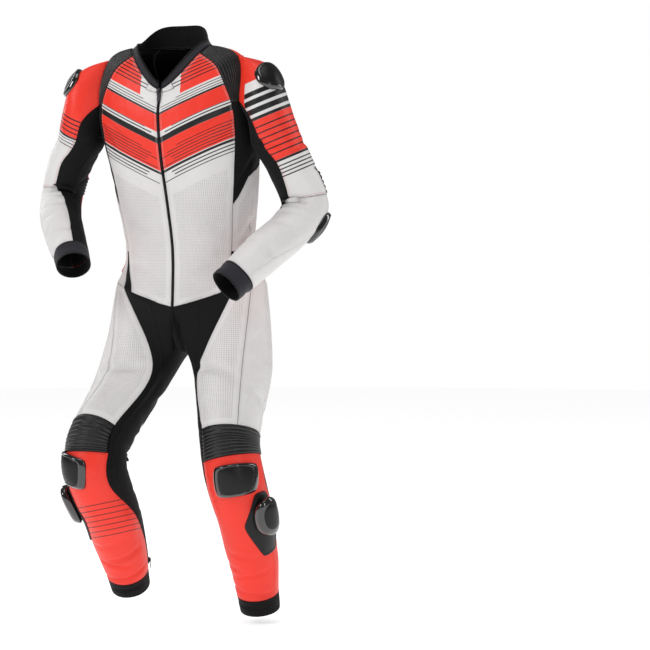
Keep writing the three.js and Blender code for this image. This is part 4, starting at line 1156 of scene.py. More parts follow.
STITCH = {"rows": (2.6, 5.4), "half": 0.32, "pitch": 3.2, "share": 0.72}
HOLE_PITCH = (4.6, 3.6)  # across and along, in millimetres
HOLE_SIZE = 0.72  # a hole's radius in millimetres
PLAIN_EDGE = 15.0  # perforated leather is plain this far from its seams


def stitches(away, along):
    """1 on the thread of the two rows that run beside a seam."""
    rows = [
        away.between((row - STITCH["half"]) * MM, (row + STITCH["half"]) * MM, 0.3 * MM)
        for row in STITCH["rows"]
    ]
    return rows[0].math("MAXIMUM", rows[1]) * along.lines(STITCH["pitch"] * MM, STITCH["share"])


def holes(u, v):
    """1 in the punched holes of perforated leather."""
    pairs = zip((u, v), HOLE_PITCH)
    across, down = (((c / (pitch * MM)).math("FRACT") - 0.5) * pitch for c, pitch in pairs)
    far = across * across + down * down
    return 1 - far.over(HOLE_SIZE * HOLE_SIZE, 0.3)


def leather(
    name, colour, thread, artwork=None, punched=None, rough=0.42, grain=1.0, shine=0.38, slack=3.4
):
    """Smooth cowhide with its grain, its seams' stitching, painted shade in its seams' grooves and, where
    given, a print and holes.
    """
    cloth = bpy.context.scene.suit_cloth
    paint = Paint(name, roughness=rough, specular_ior_level=shine, coat_roughness=0.3)
    spot = paint.spot()
    x, y, z = paint.parts(spot)
    u, v = paint.map("Flat")
    along, away = paint.map("Seam")
    tone = paint.noise(spot, 11.0, 4.0)
    face = paint.mix(tone, shade(colour, 0.9), shade(colour, 1.07))
    if artwork:
        face = artwork(paint, face, {"x": x, "y": y, "z": z, "u": u, "v": v, "tone": tone})
    worn = paint.cells(spot, 620.0)
    folds = paint.noise(spot, 95.0, 3.0)
    rumple = paint.noise(spot, 26.0, 2.0)
    sewn = stitches(away, along)
    # The seam's groove: the bump presses it in, and its colour is darkened towards black there as painted
    # shade.
    groove_and_painted_shade = 1 - away.over(1.3 * MM, 1.2 * MM)
    face = paint.mix(groove_and_painted_shade * 0.62, face, shade(cloth.black, 1.6))
    face = paint.mix(sewn * 0.75, face, thread)
    height = worn * (0.09 * grain) + folds * (0.8 * grain) + rumple * slack + sewn * 0.28 - groove_and_painted_shade * 0.5
    if punched:
        hole = holes(u, v) * punched(paint, x, y, z, u, v) * away.over(PLAIN_EDGE * MM, 2 * MM)
        face = paint.mix(hole * 0.6, face, shade(cloth.black, 6.0))
        height = height - hole * 0.5
    paint.put("Base Color", face)
    paint.put("Roughness", tone * 0.16 + (rough - 0.08) + worn * 0.08)
    paint.relief(height)
    return paint.material


def stretch(name, colour, pitch, sheen=0.03, hoops=0.0):
    """Black woven stretch: a fine rib that follows the cloth, and a soft sheen."""
    paint = Paint(
        name, roughness=0.72, specular_ior_level=0.12, sheen_weight=sheen, sheen_roughness=0.45
    )
    spot = paint.spot()
    u, v = paint.map("Flat")
    along, away = paint.map("Seam")
    tone = paint.noise(spot, 16.0, 4.0)
    weave = u.lines(pitch * MM, 0.5, 0.4) * 0.6 + v.lines(pitch * MM, 0.5, 0.4) * 0.4
    sewn = stitches(away, along)
    face = paint.mix(tone, shade(colour, 0.75), shade(colour, 1.35))
    face = paint.mix(weave * 0.35, face, shade(colour, 2.2))
    height = weave * 0.16 + paint.noise(spot, 70.0, 3.0) * 0.5 + sewn * 0.2
    if hoops:
        ring = v.lines(hoops * MM, 0.5, 0.3)
        face = paint.mix(ring * 0.5, face, shade(colour, 0.5))
        height = height + ring * 0.7
    paint.put("Base Color", face)
    paint.put("Roughness", tone * 0.14 + 0.64)
    paint.relief(height)
    return paint.material


MESH_PITCH = 3.4  # between the gaps of the open mesh, in millimetres
MESH_GAP = 0.3  # a gap's radius as a share of the pitch


def open_mesh(name, colour):
    """Stretch mesh with rows of small dark gaps."""
    paint = Paint(name, roughness=0.66, specular_ior_level=0.25, sheen_weight=0.05)
    u, v = paint.map("Flat")
    pitch = MESH_PITCH * MM
    row = (v / pitch).math("FLOOR")
    shifted = u + row * (pitch / 2)
    across = (shifted / pitch).math("FRACT") - 0.5
    down = (v / pitch).math("FRACT") - 0.5
    gap = 1 - (across * across + down * down).over(MESH_GAP * MESH_GAP, 0.05)
    paint.put("Base Color", paint.mix(gap, shade(colour, 2.4), shade(colour, 0.3)))
    paint.relief(gap * -0.7)
    return paint.material


def neoprene(name, colour):
    """Soft charcoal neoprene with a fine knitted face."""
    paint = Paint(name, roughness=0.78, specular_ior_level=0.25, sheen_weight=0.1, sheen_roughness=0.5)
    spot = paint.spot()
    u, v = paint.map("Flat")
    along, away = paint.map("Seam")
    tone = paint.noise(spot, 24.0, 3.0)
    knit = u.lines(1.1 * MM, 0.5, 0.4)
    bound = 1 - away.over(4.5 * MM, 0.8 * MM)
    face = paint.mix(tone, shade(colour, 0.8), shade(colour, 1.25))
    face = paint.mix(bound * 0.75, face, shade(colour, 0.25))
    paint.put("Base Color", face)
    paint.put("Roughness", tone * 0.1 + 0.7)
    paint.relief(knit * 0.08 + tone * 0.3 + bound * 0.5 + stitches(away, along) * 0.3)
    return paint.material


def plastic(name, colour, rough, coat, shine):
    """Moulded plastic with fine scuffs and a slight flow in its gloss."""
    paint = Paint(
        name, roughness=rough, coat_weight=coat, coat_roughness=0.05, specular_ior_level=shine
    )
    spot = paint.spot()
    flow = paint.noise(spot, 14.0, 2.0)
    pits = paint.noise(spot, 900.0, 2.0)
    paint.put("Base Color", paint.mix(flow, shade(colour, 0.8), shade(colour, 1.5)))
    paint.put("Roughness", flow * 0.08 + pits * 0.06 + (rough - 0.07))
    paint.relief(pits * 0.05 * (rough * 3) + flow * 0.4)
    return paint.material


def metal(name, colour):
    """Dark lacquered zip metal, worn brighter in places."""
    paint = Paint(name, metallic=0.85, roughness=0.35)
    spot = paint.spot()
    wear = paint.noise(spot, 260.0, 4.0)
    paint.put("Base Color", paint.mix(wear.over(0.6, 0.2), colour, shade(colour, 3.5)))
    paint.put("Roughness", wear * 0.25 + 0.22)
    paint.relief(wear * 0.06)
    return paint.material


def chain(name, colour):
    """The tape and close teeth of a short zip."""
    paint = Paint(name, roughness=0.45)
    x, y, z = paint.parts(paint.spot())
    teeth = z.lines(2.6 * MM, 0.55, 0.2)
    paint.put("Base Color", paint.mix(teeth, shade(colour, 0.8), shade(colour, 5)))
    paint.put("Metallic", teeth * 0.8)
    paint.relief(teeth * 0.6)
    return paint.material


# The chest print, on both sides of the zip: chevrons by their height on the zip, in millimetres.
CHEVRON_SLOPE = 0.46
CHEVRONS_RED = ((-108, 60), (-176, -136), (-268, -204))
CHEVRONS_BLACK = ((-136, -131), (-204, -190), (-276, -270))
CHEVRON_LINES = (
    (-300, -276, 8.2, 0.34), (-266, -226, 7.2, 0.26), (-190, -176, 7.2, 0.4), (-131, -112, 6.5, 0.3),
    (-88, -24, 9, 0.3),
)
CHEST_PLAIN = 52  # the white by the zip's top reaches this far out


def chest_print(paint, face, at):
    cloth = bpy.context.scene.suit_cloth
    out = abs(at["x"])
    height = at["z"] - out * CHEVRON_SLOPE
    red = height.between(
        CHEVRONS_RED[0][0] * MM, CHEVRONS_RED[0][1] * MM, MM
    ) * out.over(CHEST_PLAIN * MM, MM)
    for low, high in CHEVRONS_RED[1:]:
        red = red + height.between(low * MM, high * MM, MM)
    face = paint.mix(red, face, paint.mix(at["tone"], shade(cloth.red, 0.9), shade(cloth.red, 1.05)))
    black = height.between(CHEVRONS_BLACK[0][0] * MM, CHEVRONS_BLACK[0][1] * MM, MM)
    for low, high in CHEVRONS_BLACK[1:]:
        black = black + height.between(low * MM, high * MM, MM)
    for low, high, pitch, share in CHEVRON_LINES:
        number = (height / (pitch * MM)).math("FLOOR")
        chance = paint.node("ShaderNodeTexWhiteNoise", {"noise_dimensions": "1D"}, {"W": number})
        begin = chance * (55 * MM)
        line = height.lines(pitch * MM, share) * height.between(low * MM, high * MM, MM)
        black = black + line * (out - begin).over(0, 2 * MM)
    return paint.mix(black, face, shade(cloth.black, 1.3))


def chest_holes(paint, x, y, z, u, v):
    return 1 - (z - abs(x) * CHEVRON_SLOPE).over(-0.335, 4 * MM)


def everywhere(paint, x, y, z, u, v):
    return abs(z).over(0, 0.001)


# Perforated fields of the back in metres: their heights, and how far out from the spine they lie.
BACK_FIELD = {"z": (-0.36, -0.2), "out": (0.018, 0.075), "lean": 0.12}
FLANK_FIELD = {"z": (-0.33, -0.24), "out": (0.125, 0.155)}


def back_holes(paint, x, y, z, u, v):
    out = abs(x)
    leaning = out - (z - BACK_FIELD["z"][0]) * BACK_FIELD["lean"]
    tall = z.between(*BACK_FIELD["z"], MM) * leaning.between(*BACK_FIELD["out"], MM)
    flank = z.between(*FLANK_FIELD["z"], MM) * out.between(*FLANK_FIELD["out"], MM)
    return tall + flank


# The sleeve print: plain hoops square to the upper arm, in millimetres up from the shoulder ring.
# slope is how far the hoops rise for each millimetre out and back, and start where the arm begins.
SLEEVE_PRINT = {
    1: {
        "slope": (0.37, 0.2),
        "start": 193,
        "white": ((-36, 60), (-420, -150)),
        "black": ((24, 36), (2, 16), (-20, -6), (-36, -28), (-156, -150)),
        "fine": ((-142, -48, 15.5, 0.22), (-200, -160, 9.5, 0.34)),
    },
    -1: {
        "slope": (0.46, 0.13),
        "start": 213,
        "white": ((-420, -78),),
        "black": ((-84, -78),),
        "fine": ((-70, -22, 12, 0.3), (-108, -88, 8.5, 0.26)),
    },
}
SLEEVE_START = 205  # the print begins this far out from the body's middle


def sleeve_print(side):
    what = SLEEVE_PRINT[side]

    def artwork(paint, face, at):
        cloth = bpy.context.scene.suit_cloth
        out, back = what["slope"]
        place = at["z"] - abs(at["x"]) * out - at["y"] * back + what["start"] * MM
        arm = abs(at["x"]).over(SLEEVE_START * MM, MM)
        white, black = 0.0, 0.0
        for low, high in what["white"]:
            white = place.between(low * MM, high * MM, MM) + white
        for low, high in what["black"]:
            black = place.between(low * MM, high * MM, MM) + black
        for low, high, pitch, share in what["fine"]:
            black = place.lines(pitch * MM, share) * place.between(low * MM, high * MM, MM) + black
        pale = paint.mix(at["tone"], shade(cloth.white, 0.92), shade(cloth.white, 1.05))
        face = paint.mix(white * arm, face, pale)
        return paint.mix(black * arm, face, shade(cloth.black, 1.3))

    return artwork


# The hump's chevrons and the shin's bars, in metres.
HUMP_PRINT = {"slope": 0.55, "top": -0.085, "edge": (-0.088, -0.083)}
HUMP_BANDS = {"pitch": 0.021, "share": 0.3, "z": (-0.205, -0.095)}
SHIN_BARS = {"slope": 0.22, "pitch": 0.0135, "share": 0.17, "z": (-1.125, -1.025)}


def hump_print(paint, face, at):
    """White above, and a red lower part with plain dark chevrons."""
    cloth = bpy.context.scene.suit_cloth
    height = at["z"] + abs(at["x"]) * HUMP_PRINT["slope"]
    lower = 1 - height.over(HUMP_PRINT["top"], MM)
    pale = paint.mix(at["tone"], shade(cloth.white, 0.92), shade(cloth.white, 1.05))
    face = paint.mix(lower, pale, face)
    bands = height.lines(
        HUMP_BANDS["pitch"], HUMP_BANDS["share"]
    ) * height.between(*HUMP_BANDS["z"], MM)
    edge = height.between(*HUMP_PRINT["edge"], MM)
    return paint.mix(bands + edge, face, shade(cloth.black, 1.3))


def shin_print(paint, face, at):
    cloth = bpy.context.scene.suit_cloth
    height = at["z"] - at["x"] * SHIN_BARS["slope"]
    bands = height.lines(SHIN_BARS["pitch"], SHIN_BARS["share"]) * height.between(*SHIN_BARS["z"], MM)
    return paint.mix(bands * 0.85, face, shade(cloth.black, 1.3))


def make_materials():
    """The material of each panel, by the panel's name."""
    cloth = bpy.context.scene.suit_cloth
    white, red, black = (tuple(c) for c in (cloth.white, cloth.red, cloth.black))
    pale = shade(white, 0.82)
    deep = shade(red, 0.7)
    dark = shade(black, 0.4)
    plain = leather("white_leather", white, pale)
    red_plain = leather("red_leather", red, deep)
    black_leather = leather("black_leather", black, dark, rough=0.4, grain=0.7, shine=0.5, slack=0.4)
    woven = stretch("black_stretch", black, 1.3)
    soft = neoprene("charcoal_neoprene", tuple(cloth.charcoal))
    mesh = open_mesh("black_mesh", black)
    tape = stretch("zip_tape", black, 0.8, sheen=0.1)
    punched = leather("punched_leather", white, pale, punched=everywhere)
    return {
        "front": leather("chest_leather", white, pale, artwork=chest_print, punched=chest_holes),
        "back": leather("back_leather", white, pale, punched=back_holes),
        "hump": leather("hump_leather", red, deep, artwork=hump_print),
        "side": punched,
        "thigh_front": punched,
        "thigh_outer": plain,
        "forearm_top": plain,
        "sleeve_top_left": leather("left_sleeve_leather", red, deep, artwork=sleeve_print(1)),
        "sleeve_top_right": leather("right_sleeve_leather", red, deep, artwork=sleeve_print(-1)),
        "sleeve_back": red_plain,
        "forearm_back": red_plain,
        "lumbar": leather("ribbed_red", red, deep, rough=0.5),
        "shin_left": red_plain,
        "shin_right": leather("shin_leather", red, deep, artwork=shin_print),
        "seat": black_leather,
        "knee_rib": black_leather,
        "elbow_rib": black_leather,
        "shoulder_rib": black_leather,
        "crotch": woven,
        "underarm": woven,
        "sleeve_inner": woven,
        "calf": woven,
        "hem": stretch("hem_stretch", black, 1.1, hoops=5.5),
        "back_mesh": mesh,
        "collar": soft,
        "cuff": soft,
        "front_zip": tape,
        "lining": stretch("lining", shade(black, 0.6), 1.6, sheen=0.1),
        "gloss": plastic("gloss_plastic", shade(black, 0.9), 0.14, 1.0, 0.5),
        "satin": plastic("satin_plastic", shade(black, 1.2), 0.4, 0.0, 0.25),
        "metal": metal("zip_metal", shade(black, 4.0)),
        "chain": chain("zip_chain", black),
    }


MATERIALS = {}


def material_of(name):
    """The material of a panel by its full name, or by its name without the side."""
    if not MATERIALS:
        MATERIALS.update(make_materials())
    return MATERIALS[name] if name in MATERIALS else MATERIALS[name.rsplit("_", 1)[0]]


# Outlines of the hard parts as shares of their width and height, across towards the wearer's side.
OUTLINES = {
    "cup": [
        (-0.5, -0.16), (-0.44, 0.26), (-0.12, 0.5), (0.24, 0.46), (0.5, 0.14), (0.46, -0.24),
        (0.16, -0.5), (-0.3, -0.44),
    ],
    "elbow": [
        (-0.4, 0.42), (0, 0.5), (0.4, 0.42), (0.5, 0.06), (0.34, -0.34), (0, -0.5), (-0.34, -0.34),
        (-0.5, 0.06),
    ],
    "knee": [
        (-0.49, 0.3), (-0.38, 0.46), (0.4, 0.5), (0.5, 0.34), (0.46, -0.26), (0.32, -0.42),
        (-0.34, -0.5), (-0.47, -0.34),
    ],
    "base": [
        (-0.1, 0.5), (0.3, 0.46), (0.5, 0.18), (0.5, -0.2), (0.32, -0.48), (-0.12, -0.5), (-0.34, -0.2),
        (-0.5, 0.08),
    ],
    "puck": [
        (-0.36, 0.42), (0.1, 0.5), (0.44, 0.32), (0.5, -0.06), (0.36, -0.44), (0, -0.5), (-0.4, -0.34),
        (-0.5, 0.08),
    ],
}


def framed(edge, top, crown):
    """Rings of a plate with a glossy bevelled frame round a satin middle: size, rise and satin or not."""
    return [
        (1, -1.2, False),
        (1, edge * 0.6, False),
        (0.995, edge, False),
        (0.97, edge + (top - edge) * 0.45, False),
        (0.915, top - 0.5, False),
        (0.895, top, False),
        (0.845, top + 0.1, False),
        (0.83, top - 0.2, False),
        (0.82, top - 1.5, False),
        (0.80, top - 1.6, True),
        (0.785, top - 0.5, True),
        (0.75, top - 0.1, True),
        (0.5, (top + crown) / 2, True),
        (0.25, crown, True),
        (0, crown, True),
    ]


PLATE_RINGS = {
    "cup": framed(4, 8.6, 9.6),
    "elbow": framed(5, 11.4, 13),
    "knee": framed(4.5, 9.2, 10.5),
    "base": [
        (1, -1.2, True),
        (1, 2.2, True),
        (0.99, 3, True),
        (0.975, 3.5, True),
        (0.94, 3.6, True),
        (0.93, 3.1, True),
        (0.915, 3.1, True),
        (0.9, 3.6, True),
        (0.5, 3.6, True),
        (0, 3.6, True),
    ],
    "puck": [
        (0.76, -0.5, False),
        (0.8, 1, False),
        (0.96, 6, False),
        (1, 9, False),
        (1, 14, False),
        (0.99, 19, False),
        (0.955, 23.4, False),
        (0.93, 24.4, False),
        (0.84, 27.4, False),
        (0.7, 29.6, False),
        (0.66, 29.4, True),
        (0.64, 30, True),
        (0.4, 31.4, True),
        (0.15, 32, True),
        (0, 32, True),
    ],
}
PLATE_COLUMNS = "side name shape x y z azimuth tilt roll width height".split()
PLATES = [
    (1, "shoulder_cup", "cup", 256, -8, -50, 60, 36, 10, 92, 80),
    (1, "elbow_slider", "elbow", 343, 56, -402, 132, -20, -26, 69, 100),
    (1, "knee_cap", "knee", 178, -30, -1004, 22, 6, 4, 112, 84),
    (1, "puck_base", "base", 224, 20, -1112, 58, 6, 20, 98, 164),
    (-1, "shoulder_cup", "cup", -258, -6, -52, 62, 36, 10, 92, 80),
    (-1, "elbow_slider", "elbow", -340, 28, -380, 130, -20, -26, 69, 100),
    (-1, "knee_cap", "knee", -186, -136, -984, 34, 6, 6, 112, 84),
    (-1, "puck_base", "base", -214, -66, -1094, 70, 6, 27, 94, 150),
]
PUCK = {"width": 80, "height": 102, "up": 16, "back": 8, "on": 3.6}
PLATE_STEPS = 96
CAST_FROM = 70  # how far out a point on the cloth is looked for


# How much of each side is cut off at an outline's corners.
CORNER_CUTS = {"cup": 0.2, "elbow": 0.26, "knee": 0.26, "base": 0.12, "puck": 0.24}


def rounded(shape, times=3):
    """An outline with its corners cut again and again."""
    corners = [np.array(corner) for corner in OUTLINES[shape]]
    for share in [CORNER_CUTS[shape]] + [0.25] * (times - 1):
        cut = []
        for n, corner in enumerate(corners):
            before, after = corners[n - 1], corners[(n + 1) % len(corners)]
            cut.append(corner + share * (before - corner))
            cut.append(corner + share * (after - corner))
        corners = cut
    return np.array(corners)


def skin_tree():
    """All outer faces of the cloth as one tree for casting rays."""
    verts, faces = [], []
    for some, polygons in SKIN:
        first = len(verts)
        verts += some
        faces += [[first + n for n in polygon] for polygon in polygons]
    return BVHTree.FromPolygons(verts, faces)


def plate_frame(side, place):
    """Which way a plate faces, and its directions across and up."""
    turn, tilt, roll = (math.radians(place[k]) for k in ("azimuth", "tilt", "roll"))
    turn *= side
    facing = Vector((math.sin(turn) * math.cos(tilt), -math.cos(turn) * math.cos(tilt), math.sin(tilt)))
    across = Vector((0, 0, 1)).cross(facing).normalized()
    up = facing.cross(across)
    across, up = (Quaternion(facing, side * roll) @ v for v in (across, up))
    return facing, across * side, up


def bowed(u, v):
    """The terms of a gently bowed face at places across and up."""
    return np.stack([u * 0 + 1, u, v, u * u, u * v, v * v], -1)


def ground_under(tree, side, place):
    """A bowed face through the cloth under a plate, so that the plate clears every rib and fold."""
    facing, across, up = plate_frame(side, place)
    middle = Vector((place["x"], place["y"], place["z"]))
    outline = rounded(place["shape"], 1)
    spots = np.concatenate([outline * size for size in (1, 0.7, 0.35, 0.01)])
    spots = spots * (place["width"], place["height"])
    found, heights = [], []
    for u, v in spots:
        start = middle + across * u + up * v + facing * CAST_FROM
        hit = tree.ray_cast(start * MM, -facing)[0]
        if hit is None:
            raise RuntimeError(f"no cloth under {place['name']}")
        found.append((u, v))
        heights.append((hit / MM - middle).dot(facing))
    u, v = np.array(found).T
    heights = np.array(heights)
    terms = np.linalg.lstsq(bowed(u, v), heights, rcond=None)[0]
    terms[0] += 0.5 * np.clip((heights - bowed(u, v) @ terms).max(), 0, 4)
    return terms


def plate(side, place, terms, node):
    """Spins a plate's section, and bends every ring to the plate's outline and the cloth under it."""
    facing, across, up = plate_frame(side, place)
    middle = Vector((place["x"], place["y"], place["z"]))
    outline = rounded(place["shape"])
    rings = PLATE_RINGS[place["shape"]]
    bm = bmesh.new()
    section = [bm.verts.new((0, 0, -1))]
    section += [bm.verts.new((1 if size else 0, 0, n)) for n, (size, _, _) in enumerate(rings)]
    edges = [bm.edges.new(pair) for pair in zip(section, section[1:])]
    bmesh.ops.spin(
        bm,
        geom=section + edges,
        cent=(0, 0, 0),
        axis=(0, 0, 1),
        angle=2 * math.pi,
        steps=PLATE_STEPS,
        use_merge=True
    )
    bmesh.ops.remove_doubles(bm, verts=bm.verts, dist=1e-4)
    satin = {n for n, ring in enumerate(rings) if ring[2]}
    for face in bm.faces:
        face.material_index = 1 if round(min(v.co.z for v in face.verts)) in satin else 0
    bm.verts.ensure_lookup_table()
    for vert in bm.verts:
        turn = (math.atan2(vert.co.y, vert.co.x) / (2 * math.pi)) % 1 * len(outline)
        size, rise, _ = rings[max(round(vert.co.z), 0)]
        if vert.co.xy.length < 0.5:
            size = 0
        first = int(turn) % len(outline)
        edge = outline[first] + (
            outline[(first + 1) % len(outline)] - outline[first]
        ) * (turn - int(turn))
        u, v = edge * size * (place["width"], place["height"])
        bow_u, bow_v = u + place.get("from_u", 0), v + place.get("from_v", 0)
        height = float(bowed(np.array(bow_u), np.array(bow_v)) @ terms) + place.get("on", 0) + rise
        vert.co = (middle + across * u + up * v + facing * height) * MM
    bmesh.ops.recalc_face_normals(bm, faces=bm.faces)
    piece = add_object(f"{node}_shell", bm, material_of("gloss"), node)
    piece.data.materials.append(material_of("satin"))
    return piece


class SUIT_OT_plates(bpy.types.Operator):
    """Mould the shoulder cups, elbow sliders, knee caps and knee pucks"""

    bl_idname = "suit.plates"
    bl_label = "Hard parts"

    def execute(self, context):
        tree = skin_tree()
        for row in PLATES:
            place = dict(zip(PLATE_COLUMNS, row))
            side = place["side"]
            terms = ground_under(tree, side, place)
            plate(side, place, terms, f"{place['name']}_{SIDE_NAME[side]}")
            if place["name"] != "puck_base":
                continue
            _, across, up = plate_frame(side, place)
            offset = across * PUCK["back"] + up * PUCK["up"]
            puck = dict(place, width=PUCK["width"], height=PUCK["height"], shape="puck", on=PUCK["on"])
            puck.update(x=place["x"] + offset.x, y=place["y"] + offset.y, z=place["z"] + offset.z)
            puck.update(from_u=PUCK["back"], from_v=PUCK["up"])
            plate(side, puck, terms, f"knee_puck_{SIDE_NAME[side]}")
        return {"FINISHED"}


def path_on(grid, side, corners, step):
    """Points, outward directions and key places of an even path through key places of a grid."""
    corners = np.array(corners, float)
    places = np.linspace(0, len(corners) - 1, 60 * (len(corners) - 1) + 1)
    rows, columns = (smooth(corners[:, n], places) for n in (0, 1))
    found, _ = surface(grid, side, rows, columns)
    run = np.concatenate([[0], np.cumsum(np.linalg.norm(np.diff(found, axis=0), axis=1))])
    count = max(int(run[-1] / step), 2)
    even = np.linspace(0, run[-1], count + 1)
    rows, columns = np.interp(even, run, rows), np.interp(even, run, columns)
    found, facing = surface(grid, side, rows, columns)
    found = found + facing * (waviness(found) + fold_depth(found))[:, None]
    return found, facing, even


def directions(found, facing):
    along = unit(np.gradient(found, axis=0))
    return along, unit(np.cross(along, facing))


# Laps where two layers of a panel are sewn on each other, as key places (row, column) of its grid.
LAPS = {
    "white": [
        ("torso", [(5.7, 6.5), (5, 6.5), (4, 6.55), (3, 6.7), (2.08, 6.4)]),
        ("leg", [(-0.0, 4.7), (0.5, 4.75), (1.1, 4.95), (1.97, 5.1)]),
        ("leg", [(0.02, 5.0), (0.5, 5.05), (1.1, 5.2), (1.97, 5.32)]),
        ("sleeve", [(2.04, 1.0), (2.5, 1.12), (2.96, 1.0)]),
        ("torso", [(2.05, 4.6), (2.94, 4.5)]),
    ],
    "red": [
        ("leg", [(3.04, 4.9), (3.5, 5.25), (3.97, 5.2)]),
        ("sleeve", [(0.25, 2.45), (0.6, 2.5), (0.97, 2.5)]),
        ("sleeve", [(2.05, 2.5), (2.96, 2.5)]),
    ],
    "black": [
        ("leg", [(2.05, 8), (2.6, 8.1), (3.97, 8)]),
        ("leg", [(0.06, 7.6), (0.8, 7.5), (1.95, 7.4)]),
        ("leg", [(0.1, 1.5), (1.0, 1.6), (1.95, 1.5)]),
        ("leg", [(2.05, 1.4), (3, 1.6), (3.95, 1.5)]),
        ("sleeve", [(0.1, 3.5), (1, 3.5), (2.95, 3.5)]),
    ],
}
CENTRE_LAPS = [("torso", [(3.7, 8), (3, 8), (2.05, 8)])]
LAP_SECTION = np.array(
    [(-4.4, -0.5), (-3.6, 0.45), (-1.8, 0.75), (0, 0.8), (1.8, 0.75), (3.6, 0.45), (4.4, -0.5)]
)
LAP_STEP = 4.0
LAP_PLAIN = 1.7  # keeps a seam's painted shade and groove off a lap's edge


def add_lap(bm, grid, side, corners):
    found, facing, run = path_on(grid, side, corners, LAP_STEP)
    along, across = directions(found, facing)
    n, m = len(LAP_SECTION) - 1, len(found) - 1
    made = bmesh.ops.create_grid(bm, x_segments=n, y_segments=m, size=0.5)["verts"]
    flat, seam = bm.loops.layers.uv["Flat"], bm.loops.layers.uv["Seam"]
    for vert in made:
        j = round((vert.co.x + 0.5) * n)
        i = round((vert.co.y + 0.5) * m)
        wide, high = LAP_SECTION[j]
        vert.co = (found[i] + across[i] * wide + facing[i] * high) * MM
        for loop in vert.link_loops:
            loop[flat].uv = (wide * MM, run[i] * MM)
            loop[seam].uv = (run[i] * MM, (wide - LAP_SECTION[0][0] + LAP_PLAIN) * MM)


def add_cord(bm, found, radius, sides=8):
    """A round cord through points, made from a circle that is extruded along them."""
    along = unit(np.gradient(found, axis=0))
    ring = bmesh.ops.create_circle(bm, segments=sides, radius=radius * MM)["verts"]
    edges = list({e for v in ring for e in v.link_edges})
    turn = None
    for n, point in enumerate(found):
        if n:
            made = bmesh.ops.extrude_edge_only(bm, edges=edges)["geom"]
            ring = [g for g in made if isinstance(g, bmesh.types.BMVert)]
            edges = [
                g for g in made if isinstance(g, bmesh.types.BMEdge) and all(v in ring for v in g.verts)
            ]
            back = turn.inverted()
        goal = Vector(along[n]).to_track_quat("Z", "Y").to_matrix().to_4x4()
        goal.translation = Vector(point * MM)
        move = goal @ back if n else goal
        bmesh.ops.transform(bm, matrix=move, verts=ring)
        turn = goal


class SUIT_OT_laps(bpy.types.Operator):
    """Sew the laps, the collar's binding and the tape inside the neck seam"""

    bl_idname = "suit.laps"
    bl_label = "Laps and bindings"

    def execute(self, context):
        leathers = {"white": "thigh_outer", "red": "sleeve_back", "black": "crotch"}
        for colour, rows in LAPS.items():
            bm = new_bmesh()
            for side in SIDES:
                for grid, corners in rows:
                    add_lap(bm, grid, side, corners)
            if colour == "white":
                for grid, corners in CENTRE_LAPS:
                    add_lap(bm, grid, 1, corners)
            add_object(f"laps_{colour}", bm, material_of(leathers[colour]), None)
        bm = new_bmesh()
        for row, sink, radius in BINDINGS:
            halves = [
                path_on("collar", side, [(row, 1.02), (row, 4), (row, 8)], BINDING_STEP)
                for side in SIDES
            ]
            shifted = [found - facing * sink for found, facing, _ in halves]
            add_cord(bm, np.concatenate([shifted[0], shifted[1][-2::-1]]), radius)
        ends = [e for e in bm.edges if e.is_boundary]
        bmesh.ops.holes_fill(bm, edges=ends)
        bmesh.ops.recalc_face_normals(bm, faces=bm.faces)
        add_object("collar_bindings", bm, material_of("lining"), None)
        return {"FINISHED"}


BINDINGS = ((0.98, 1.1, 1.9), (0.02, 2.6, 2.2))  # row of the collar, how deep it lies, and its radius
BINDING_STEP = 5.0


# The front zip's teeth, in millimetres: across, along and out, with the pitch of one side.
TOOTH = (3.0, 1.5, 1.7)
TOOTH_PITCH = 3.0
TOOTH_OUT = 0.5
ZIP_ENDS = ((0.05, 0), (3.5, 0), (6.75, 0))
GARAGE = {"rows": (6.45, 6.97), "columns": (1.02, 1.26), "rise": 1.7, "cells": 10}
FLAP_WALL = 1.2
FLAP_WIDTH = 0.014  # the width that each flap is cut to, in metres


